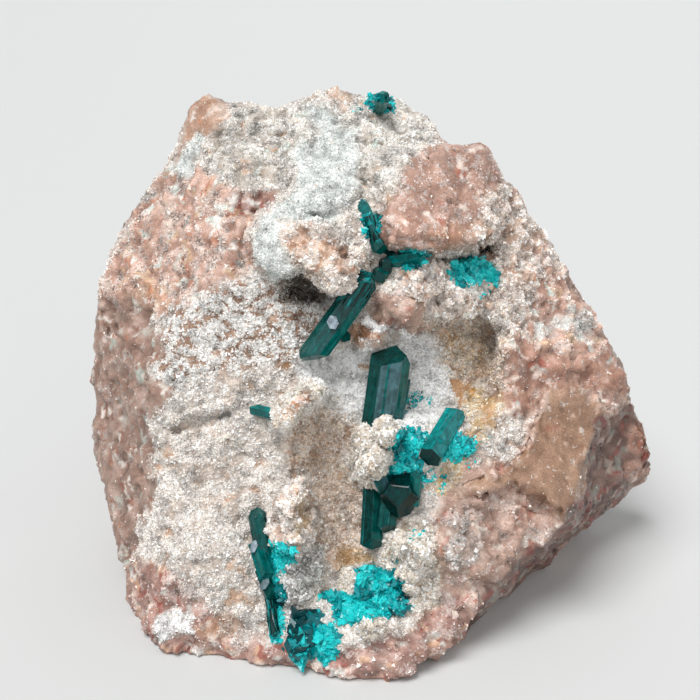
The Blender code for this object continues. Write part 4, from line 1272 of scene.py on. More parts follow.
@dataclass(frozen=True)
class DeepDioptase(Finish):
    """Dioptase in large crystals: deep green copper silicate, clear inside, with glassy faces.

    Its faces are striped along the crystal, and cleavage veils inside lighten it in streaks.
    Both patterns follow the place along the crystal, in millimetres.

    Args:
        stripes: the stripes of its faces.
        veils: the veils inside.
        stretch: how far the stripes are drawn out along the crystal.
        clearness: how much light goes through it.
        absorbed: the colour that light takes on inside, as sRGB hex.
        density: how fast it does, per metre.
        mirroring: how strongly its faces mirror.
        roughness: how matt its clearest faces are.
        wear: how much more matt its veiled faces are.
        bump: how strong the stripes' relief is.
        depth: how deep it is, in metres.
    """

    name: str = "deep_dioptase"
    ior: float = 1.67
    stripes: Mottle = Mottle(0.3, 4.0, 0.65, 0.0, (0.35, 0.68), (0.75, 1.4))
    veils: Mottle = Mottle(1.0 / 0.9, 5.0, 0.7, 0.6, (0.38, 0.7), (0.6, 1.6))
    stretch: float = 0.12
    clearness: float = 0.25
    absorbed: str = "#3fd0c4"
    density: float = 200.0
    mirroring: float = 0.09
    roughness: float = 0.08
    wear: float = 0.2
    bump: float = 0.3
    depth: float = 0.05 * MM

    def make(self) -> bpy.types.Material:
        """Builds the material."""
        made, tree = self.start()
        place = add_node(tree, "ShaderNodeAttribute", {"attribute_name": "along"})
        drawn = add_node(
            tree, "ShaderNodeMapping", values={"Scale": (1.0, 1.0, self.stretch)},
            links={"Vector": place.outputs["Vector"]},
        )
        stripes, depth = self.stripes.spread(tree, drawn.outputs["Vector"])
        veils, veil = self.veils.spread(tree, place.outputs["Vector"])
        wear = add_node(
            tree, "ShaderNodeMapRange",
            values={"To Min": self.roughness, "To Max": self.roughness + self.wear},
            links={"Value": veils},
        )
        bump = add_node(
            tree, "ShaderNodeBump", values={"Strength": self.bump, "Distance": self.depth},
            links={"Height": stripes},
        )
        inside = add_node(
            tree, "ShaderNodeVolumeAbsorption",
            values={"Color": linear(self.absorbed) + (1.0,), "Density": self.density},
        )
        values = {"Transmission Weight": self.clearness, "Specular IOR Level": self.mirroring}
        self.close(tree, values, {
            "Base Color": self.shaded(tree, depth, veil),
            "Roughness": wear.outputs["Result"],
            "Normal": bump.outputs["Normal"],
        }, {"Volume": inside.outputs["Volume"]})
        return made


def mesh_from_bmesh(bm: bmesh.types.BMesh, name: str) -> bpy.types.Mesh:
    """Makes a mesh of a bmesh and frees it."""
    mesh = bpy.data.meshes.new(name)
    bm.to_mesh(mesh)
    bm.free()
    return mesh


def cut_end(
    bm: bmesh.types.BMesh, height: float, facing: tuple[float, float, float]
) -> None:
    """Cuts a crystal's end off slantwise and closes it with a flat face.

    Args:
        bm: the crystal, standing along +Z.
        height: where the cut meets its axis.
        facing: the way the new face looks.
    """
    cut = bmesh.ops.bisect_plane(
        bm, geom=bm.verts[:] + bm.edges[:] + bm.faces[:], dist=1e-7,
        plane_co=(0.0, 0.0, height), plane_no=facing, clear_outer=True,
    )["geom_cut"]
    rim = [item for item in cut if isinstance(item, bmesh.types.BMEdge)]
    bmesh.ops.contextual_create(bm, geom=rim)


def settled(bm: bmesh.types.BMesh) -> bmesh.types.BMesh:
    """Rebuilds a closed mesh with its points and faces in the same order in each run.

    Extruding orders the new faces by where they lie in memory, which differs from run to
    run, and both the random draws and the later cuts follow that order.

    Args:
        bm: the mesh, which is freed.

    Returns:
        The same mesh in order, its faces outwards.
    """
    bmesh.ops.recalc_face_normals(bm, faces=bm.faces[:])
    verts = sorted(bm.verts, key=lambda vert: tuple(vert.co))
    number = {vert: place for place, vert in enumerate(verts)}
    loops = []
    for face in bm.faces:
        loop = [number[vert] for vert in face.verts]
        first = loop.index(min(loop))
        loops.append(loop[first:] + loop[:first])
    made = bmesh.new()
    points = [made.verts.new(vert.co) for vert in verts]
    for loop in sorted(loops):
        made.faces.new([points[place] for place in loop])
    bm.free()
    made.normal_update()
    return made


@dataclass(frozen=True)
class Template:
    """A small shape that is repeated: its points and its triangles."""

    points: np.ndarray
    triangles: np.ndarray

    @classmethod
    def of(cls, bm: bmesh.types.BMesh) -> "Template":
        """Reads a bmesh and frees it."""
        bmesh.ops.triangulate(bm, faces=bm.faces[:])
        bmesh.ops.recalc_face_normals(bm, faces=bm.faces[:])
        bm.verts.index_update()
        points = np.array([vert.co[:] for vert in bm.verts])
        triangles = np.array([[vert.index for vert in face.verts] for face in bm.faces])
        bm.free()
        return cls(points, triangles)


def quartz_point(sides: int) -> Template:
    """The point of a small quartz crystal, its foot hidden in the crust.

    Args:
        sides: how many faces it shows.

    Returns:
        The template, about one unit wide and high.
    """
    bm = bmesh.new()
    bmesh.ops.create_cone(
        bm, cap_ends=True, segments=sides, radius1=0.62, radius2=0.0, depth=0.8,
        matrix=Matrix.Translation((0.0, 0.0, 0.1)),
    )
    return Template.of(bm)


def repeated(
    name: str,
    template: Template,
    frames: np.ndarray,
    places: np.ndarray,
    tints: np.ndarray,
) -> bpy.types.Object:
    """Joins many copies of a template in one mesh.

    Args:
        name: the piece's name.
        template: the shape that is repeated.
        frames: a 3 by 3 matrix for each copy, its size included.
        places: where each copy is, in millimetres.
        tints: the colour of each copy, linear.

    Returns:
        The new object.
    """
    count, corners = len(places), len(template.points)
    points = np.einsum("nij,pj->npi", frames, template.points) + places[:, None, :]
    triangles = template.triangles[None] + (np.arange(count) * corners)[:, None, None]
    mesh = bpy.data.meshes.new(name)
    faces = count * len(template.triangles)
    mesh.vertices.add(count * corners)
    mesh.vertices.foreach_set("co", (points * MM).ravel())
    mesh.loops.add(faces * 3)
    mesh.loops.foreach_set("vertex_index", triangles.ravel())
    mesh.polygons.add(faces)
    mesh.polygons.foreach_set("loop_start", np.arange(0, faces * 3, 3))
    mesh.update(calc_edges=True)
    mesh.shade_flat()
    paint = mesh.color_attributes.new("tint", "FLOAT_COLOR", "POINT")
    colours = np.ones((count * corners, 4))
    colours[:, :3] = np.repeat(tints, corners, axis=0)
    paint.data.foreach_set("color", colours.ravel())
    return add_object(name, mesh)


def frames_along(axes: np.ndarray, spins: np.ndarray, sizes: np.ndarray) -> np.ndarray:
    """Matrices that stand a template along an axis.

    Args:
        axes: the unit direction of each copy's height.
        spins: the turn of each copy about it, in radians.
        sizes: each copy's sizes across, across and along.

    Returns:
        One 3 by 3 matrix for each copy.
    """
    helper = np.where(np.abs(axes[:, 2:]) < 0.9, (0.0, 0.0, 1.0), (1.0, 0.0, 0.0))
    first = np.cross(helper, axes)
    first /= np.linalg.norm(first, axis=1)[:, None]
    second = np.cross(axes, first)
    cosine, sine = np.cos(spins)[:, None], np.sin(spins)[:, None]
    side = first * cosine + second * sine
    other = second * cosine - first * sine
    return np.stack((side, other, axes), axis=2) * sizes[:, None, :]


@dataclass
class QuartzDruse:
    """The crusts of quartz grains all over the rock.

    Args:
        skin: the rock's skin, on which they grow.
        keep_out: axes of large crystals, as both ends and a radius in millimetres.
        seed: the seed of their places.
        bare: how many grains bare rock has, as a share of what druse has.
        most_faces: the most triangles that one piece may have.
        over_base: height over the base below which nothing grows, in millimetres.
        spread: how unlike the grains' sizes are, as the spread of their logarithms.
        extremes: the least and the most that a size's logarithm is from the middle.
        tones: how bright dull, plain and bright grains are.
        tone_shares: how many of the grains are dull, plain and bright.
        brightest: the most light that a grain gives back.
        lean: how far the grains lean from upright.
    """

    skin: RockSkin
    keep_out: list[tuple[np.ndarray, np.ndarray, float]]
    seed: int = 20
    bare: float = 0.1
    most_faces: int = 196000
    over_base: float = 0.3
    spread: float = 0.36
    extremes: tuple[float, float] = (-0.9, 0.7)
    tones: tuple[float, float, float] = (0.62, 0.95, 1.3)
    tone_shares: tuple[float, float, float] = (0.14, 0.66, 0.2)
    brightest: float = 0.95
    lean: float = 0.45

    def sample(
        self, kinds: tuple[GroundKind, ...], limit: int, rng: np.random.Generator
    ) -> tuple[np.ndarray, np.ndarray, np.ndarray, np.ndarray]:
        """Chooses places for the grains of some grounds.

        Args:
            kinds: the grounds.
            limit: the most grains that a piece may have.
            rng: the source of random numbers.

        Returns:
            Each grain's place, normal, size and colour.
        """
        skin = self.skin
        shares = np.zeros(len(skin.shares[0]))
        columns = [list(GroundKind).index(kind) for kind in kinds]
        shares[columns] = [kind.value.grains for kind in kinds]
        triangle = skin.points[skin.corners]
        cross = np.cross(triangle[:, 1] - triangle[:, 0], triangle[:, 2] - triangle[:, 0])
        area = 0.5 * np.linalg.norm(cross, axis=1)
        density = (skin.shares @ shares) * (self.bare + (1.0 - self.bare) * skin.covered)
        wanted = area * density[skin.corners].mean(axis=1)
        wanted *= triangle[:, :, 2].mean(axis=1) > self.over_base
        total = np.cumsum(wanted)
        count = min(int(total[-1]), limit)
        draws = np.sort(rng.random(count)) * total[-1]
        chosen = np.searchsorted(total, draws)
        mix = rng.random((len(chosen), 2))
        folded = mix.sum(axis=1) > 1.0
        mix[folded] = 1.0 - mix[folded]
        mix = np.column_stack((1.0 - mix.sum(axis=1), mix))
        corners = skin.corners[chosen]
        places = np.einsum("nk,nki->ni", mix, skin.points[corners])
        normals = np.einsum("nk,nki->ni", mix, skin.normals[corners])
        normals /= np.linalg.norm(normals, axis=1)[:, None]
        grounds = np.einsum("nk,nkg->ng", mix, skin.shares[corners])[:, columns] + 1e-9
        grounds *= shares[columns]
        grounds = np.cumsum(grounds / grounds.sum(axis=1)[:, None], axis=1)
        which = (rng.random(len(chosen))[:, None] > grounds).sum(axis=1).clip(0, len(kinds) - 1)
        size = np.array([kind.value.grain_size for kind in kinds])[which]
        size = size * np.exp(np.clip(rng.normal(0.0, self.spread, len(chosen)), *self.extremes))
        colours = np.zeros((len(chosen), 3))
        for row, kind in enumerate(kinds):
            palette = np.array([linear(colour) for colour in kind.value.grain_colours])
            own = which == row
            colours[own] = palette[rng.integers(0, len(palette), own.sum())]
        below = np.einsum("nk,nki->ni", mix, skin.rock[corners])
        tinge = np.array([kind.value.tinge for kind in kinds])[which][:, None]
        colours += (below - colours) * tinge * rng.uniform(0.4, 1.5, (len(chosen), 1))
        # Painted shade of the pits and chips under each grain
        colours *= np.einsum("nk,nk->n", mix, skin.light[corners])[:, None]
        colours *= rng.choice(self.tones, (len(chosen), 1), p=self.tone_shares)
        colours = np.clip(colours, 0.0, self.brightest)
        free = self.free(places)
        return places[free], normals[free], size[free], colours[free]

    def free(self, places: np.ndarray) -> np.ndarray:
        """Which places lie outside the large crystals."""
        free = np.ones(len(places), bool)
        for start, end, radius in self.keep_out:
            axis = end - start
            along = np.clip((places - start) @ axis / (axis @ axis), 0.0, 1.0)
            apart = np.linalg.norm(places - start - along[:, None] * axis, axis=1)
            free &= apart > radius
        return free

    def grow(
        self, name: str, kinds: tuple[GroundKind, ...], template: Template, finish: bpy.types.Material
    ) -> bpy.types.Object:
        """Grows the grains of some grounds as one piece.

        Args:
            name: the piece's name.
            kinds: the grounds whose grains it holds.
            template: the grain's shape.
            finish: its material.

        Returns:
            The piece.
        """
        rng = np.random.default_rng(self.seed + len(name))
        limit = self.most_faces // len(template.triangles)
        places, normals, size, colours = self.sample(kinds, limit, rng)
        axes = normals + self.lean * rng.normal(size=normals.shape)
        axes /= np.linalg.norm(axes, axis=1)[:, None]
        sizes = size[:, None] * rng.uniform(0.8, 1.2, (len(size), 3))
        frames = frames_along(axes, rng.uniform(0.0, math.tau, len(size)), sizes)
        lowest = np.abs(frames[:, 2, :]).sum(axis=1)
        places[:, 2] = np.maximum(places[:, 2], lowest)
        piece = repeated(name, template, frames, places, colours)
        piece.data.materials.append(finish)
        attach(piece, "root")
        LOG.info("%s: %d grains, %d faces", name, len(places), len(piece.data.polygons))
        return piece

    def build(self) -> None:
        """Grows every crust."""
        finish = DRUSY_QUARTZ.make()
        point = quartz_point(3)
        crystal = quartz_point(4)
        kind = GroundKind
        crusts = {
            "white_sugar": ((kind.WHITE_SUGAR,), point),
            "salt_grains": ((kind.SALTED_TAN, kind.YELLOW_SAND, kind.SHADOWED), point),
            "prism_druse": ((kind.PRISM_DRUSE,), point),
            "sand_grains": ((kind.TAN_SAND, kind.AMBER_SAND), point),
            "chalk_grains": ((kind.CHALK, kind.GREY_DRUSE), point),
            "rim_quartz": ((kind.RIM_CRUST, kind.CREAM_LUMPS, kind.CLEAR_LUMPS), crystal),
            "pink_grains": (
                (kind.PINK_PLATE, kind.PINK_GRAIN, kind.FLESH_QUARTZ, kind.WAXY_BREAK,
                 kind.SHOULDER_PINK, kind.HORN, kind.ORANGE, kind.COPPER_STAIN), point),
            "speckled_grains": (
                (kind.SPECKLED_PINK, kind.BROKEN_SIDE, kind.UNDERSIDE), point),
        }
        for name, (kinds, template) in crusts.items():
            self.grow(name, kinds, template, finish)


TipFaces = tuple[tuple[float, float, float], ...]


@dataclass(frozen=True)
class Prism:
    """One dioptase crystal: a six-sided prism that ends in rhombohedral faces.

    Args:
        base: its root as across, up and lift over the rock, in millimetres.
        tip: its end, given the same way.
        width: its width, in millimetres.
        flatness: its thickness as a share of its width.
        turn: its turn about its axis, in radians.
        strips: how many fine strips each side has.
        relief: height of the steps between the strips, in millimetres.
        etched: the share of its length, from the root, that is etched rough.
        sheen: how far the faces towards the viewer are greyed by what they mirror.
        glow: how light it is; negative for a dark one.
        cap: how light its end faces are, as a share of its sides.
        tip_faces: each end face's tilt across, tilt away from the viewer, and height.
    """

    base: tuple[float, float, float]
    tip: tuple[float, float, float]
    width: float
    flatness: float = 1.0
    turn: float = 0.0
    strips: int = 3
    relief: float = 0.06
    etched: float = 0.0
    sheen: float = 0.0
    glow: float = 0.0
    cap: float = 0.8
    tip_faces: TipFaces = ((0.9, 0.2, -0.3), (-0.5, -0.7, -0.4), (-0.7, 0.8, -0.1))


@dataclass
class CrystalMaker:
    """Models dioptase crystals and paints their faces, with painted light, highlights and reflections.

    Args:
        skin: the rock's skin, on which they stand.
        rng: the source of random numbers.
        dark: colour of the darkest faces, as sRGB hex.
        light: colour of the lightest faces.
        edge: colour of the bright edges, put on narrow edge faces as a painted highlight; lighter
            crystals and etched faces mix towards it too.
        mirror: colour of a face that mirrors the sky.
        glint: colour of a flat end that mirrors it straight at the viewer.
        foot: how far a root reaches into the rock, in millimetres.
        sharp: the least angle of an edge that catches the light, in radians.
        narrow: width below which a face is such an edge's, as a share of the crystal's.
        pitting: how far the etched faces are pitted, in millimetres.
        end_slope: how far along the crystal an end face looks at least.
    """

    skin: RockSkin
    rng: np.random.Generator
    dark: str = "#002422"
    light: str = "#016e69"
    edge: str = "#05a8a9"
    mirror: str = "#4d6d75"
    glint: str = "#b4c2cf"
    foot: float = 0.8
    sharp: float = math.radians(25.0)
    narrow: float = 0.035
    pitting: float = 0.09
    end_slope: float = 0.35

    def ends(self, prism: Prism) -> tuple[Vector, Vector]:
        """Both ends of a prism in space, in metres."""
        return self.skin.on_solid(*prism.base), self.skin.on_solid(*prism.tip)

    def outline(self, prism: Prism) -> list[Vector]:
        """The six-sided outline, its sides broken into strips at slightly unlike heights."""
        radius = prism.width / 2.0 * MM
        points = []
        for side in range(6):
            start, end = math.tau * side / 6.0, math.tau * (side + 1) / 6.0
            corner = Vector((math.cos(start), math.sin(start), 0.0)) * radius
            after = Vector((math.cos(end), math.sin(end), 0.0)) * radius
            out = (corner + after).normalized()
            points.append(corner)
            for cut in sorted(self.rng.uniform(0.12, 0.9, prism.strips - 1)):
                step = self.rng.uniform(-1.0, 0.4) * prism.relief * MM
                points.append(corner.lerp(after, cut) + out * step)
        return points

    def body(self, prism: Prism, length: float) -> bmesh.types.BMesh:
        """Models a prism along +Z, its root at the origin.

        Args:
            prism: the crystal.
            length: its length, in metres.

        Returns:
            The crystal's bmesh.
        """
        bm = bmesh.new()
        floor = bm.faces.new([bm.verts.new(point) for point in self.outline(prism)])
        raised = bmesh.ops.extrude_face_region(bm, geom=[floor])["geom"]
        upper = [item for item in raised if isinstance(item, bmesh.types.BMVert)]
        bmesh.ops.translate(bm, verts=upper, vec=(0.0, 0.0, length + prism.width * MM))
        bm = settled(bm)
        for across, away, height in prism.tip_faces:
            cut_end(bm, length + height * MM, (across, away, 1.0))
            bm = settled(bm)
        for vert in bm.verts:
            if vert.co.z < 1e-7:
                vert.co.z = -self.foot * MM
        return settled(bm)

    def sharpen(self, bm: bmesh.types.BMesh, prism: Prism) -> bmesh.types.BMesh:
        """Gives a crystal's edges the narrow facets that catch the light."""
        sharp = [
            edge for edge in bm.edges
            if len(edge.link_faces) == 2 and edge.calc_face_angle() > self.sharp
        ]
        bmesh.ops.bevel(
            bm, geom=sharp, offset=0.02 * prism.width * MM, segments=1, profile=0.5,
            affect="EDGES", material=-1, clamp_overlap=True,
        )
        return settled(bm)

    def etch(self, bm: bmesh.types.BMesh, prism: Prism, length: float) -> bmesh.types.BMesh:
        """Roughens the etched part of a crystal."""
        reach = prism.etched * length
        for step in (1.0, 0.5):
            long = [
                edge for edge in bm.edges
                if edge.calc_length() > step * 0.7 * MM
                and min(vert.co.z for vert in edge.verts) < reach
            ]
            bmesh.ops.subdivide_edges(bm, edges=long, cuts=1, use_grid_fill=True)
            bmesh.ops.triangulate(bm, faces=[face for face in bm.faces if len(face.verts) > 3])
            bm = settled(bm)
        for vert in bm.verts:
            if vert.co.z < reach:
                vert.co += Vector(self.rng.uniform(-self.pitting, self.pitting, 3) * MM)
        return settled(bm)

    def paint(self, bm: bmesh.types.BMesh, prism: Prism, length: float, way: float) -> None:
        """Paints a crystal's faces, with painted light, highlights and reflections, and keeps each
        point's place along the crystal.

        Args:
            bm: the crystal, standing along +Z.
            prism: what it is like.
            length: its length, in metres.
            way: 1 when its +X side will be on the viewer's right, or else -1; the faces on the viewer's
                right get the painted light.
        """
        tint = bm.loops.layers.float_color.new("tint")
        along = bm.verts.layers.float_vector.new("along")
        dark, light, edge, mirror, glint = (
            np.array(linear(colour))
            for colour in (self.dark, self.light, self.edge, self.mirror, self.glint)
        )
        tones = self.rng.uniform(0.0, 1.0, 12)
        narrow = self.narrow * prism.width * MM
        for vert in bm.verts:
            vert[along] = vert.co / MM
        for face in bm.faces:
            normal = face.normal
            shortest = min(item.calc_length() for item in face.edges)
            side = int(math.atan2(normal.y, normal.x) / math.tau * 6.0 + 6.5) % 6
            at_end = abs(normal.z) > self.end_slope
            tone = tones[side + (6 if at_end else 0)]
            # Painted light: faces towards the viewer's right are made lighter, those towards the left
            # darker
            painted_side_light = 0.5 + 0.5 * way * normal.x
            tone = 0.4 * tone + 0.4 * painted_side_light + 0.2 * self.rng.random()
            colour = dark + (light - dark) * tone
            if at_end:
                colour = colour * prism.cap
            colour = colour + (edge - colour) * max(prism.glow, 0.0)
            colour = colour * (1.0 + min(prism.glow, 0.0))
            if face.calc_center_median().z < prism.etched * length:
                colour = dark + (edge - dark) * 0.8 * self.rng.random() ** 2.0
            # Painted highlight: narrow edge faces take a little of the bright edge colour
            elif shortest < narrow and face.calc_area() < 3.0 * narrow * length:
                colour = colour + (edge - colour) * 0.1
            # Painted reflections: flat ends that look along the crystal take the glint colour, faces
            # towards the viewer the mirror colour, as far as the sheen says
            elif normal.z > 0.97:
                colour = colour + (glint - colour) * prism.sheen
            elif normal.y < -0.8:
                colour = colour + (mirror - colour) * prism.sheen
            for loop in face.loops:
                loop[tint] = (*colour, 1.0)

    def add(self, bm: bmesh.types.BMesh, prism: Prism) -> None:
        """Adds a prism to a bmesh.

        Args:
            bm: the bmesh.
            prism: the crystal.
        """
        base, tip = self.ends(prism)
        axis = tip - base
        one = self.body(prism, axis.length)
        if prism.etched:
            one = self.etch(one, prism, axis.length)
        else:
            one = self.sharpen(one, prism)
        turn = Matrix.Rotation(prism.turn, 4, "Z")
        bmesh.ops.transform(one, matrix=turn, verts=one.verts[:])
        one.normal_update()
        side = Vector(SIGHT.gaze).cross(axis).normalized()
        self.paint(one, prism, axis.length, math.copysign(1.0, side.x))
        out = axis.normalized().cross(side)
        turned = Matrix((side, out, axis.normalized())).transposed().to_4x4()
        stretch = Matrix.Diagonal((1.0, prism.flatness, 1.0, 1.0))
        place = Matrix.Translation(base) @ turned @ stretch
        bmesh.ops.transform(one, matrix=place, verts=one.verts[:])
        mesh = mesh_from_bmesh(one, "crystal")
        bm.from_mesh(mesh)
        bpy.data.meshes.remove(mesh)


@dataclass(frozen=True)
class Crust:
    """A patch of small dioptase crystals that lie across each other.

    Args:
        outline: its outline on the sight plane.
        size: their length, in millimetres.
        lift: how high its middle stands, in millimetres.
        lightness: how bright it is, from 0 to 1.
        density: crystals on each square millimetre.
    """

    outline: Outline
    size: float
    lift: float = 0.8
    lightness: float = 0.6
    density: float = 30.0


@dataclass(frozen=True)
class DioptaseGroup:
    """The crystals of one group that grew together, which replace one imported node.

    Args:
        node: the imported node.
        prisms: its large crystals.
        crusts: its patches of small crystals.
    """

    node: str
    prisms: tuple[Prism, ...] = ()
    crusts: tuple[Crust, ...] = ()


# Flat ends that face the viewer, which carry a painted glint, and blunt ones
FLAT_END = ((0.0, 0.0, 0.0),)
BLUNT_END = ((0.9, -0.2, 0.5), (-0.6, -0.3, 0.1), (0.1, 0.9, 0.8))

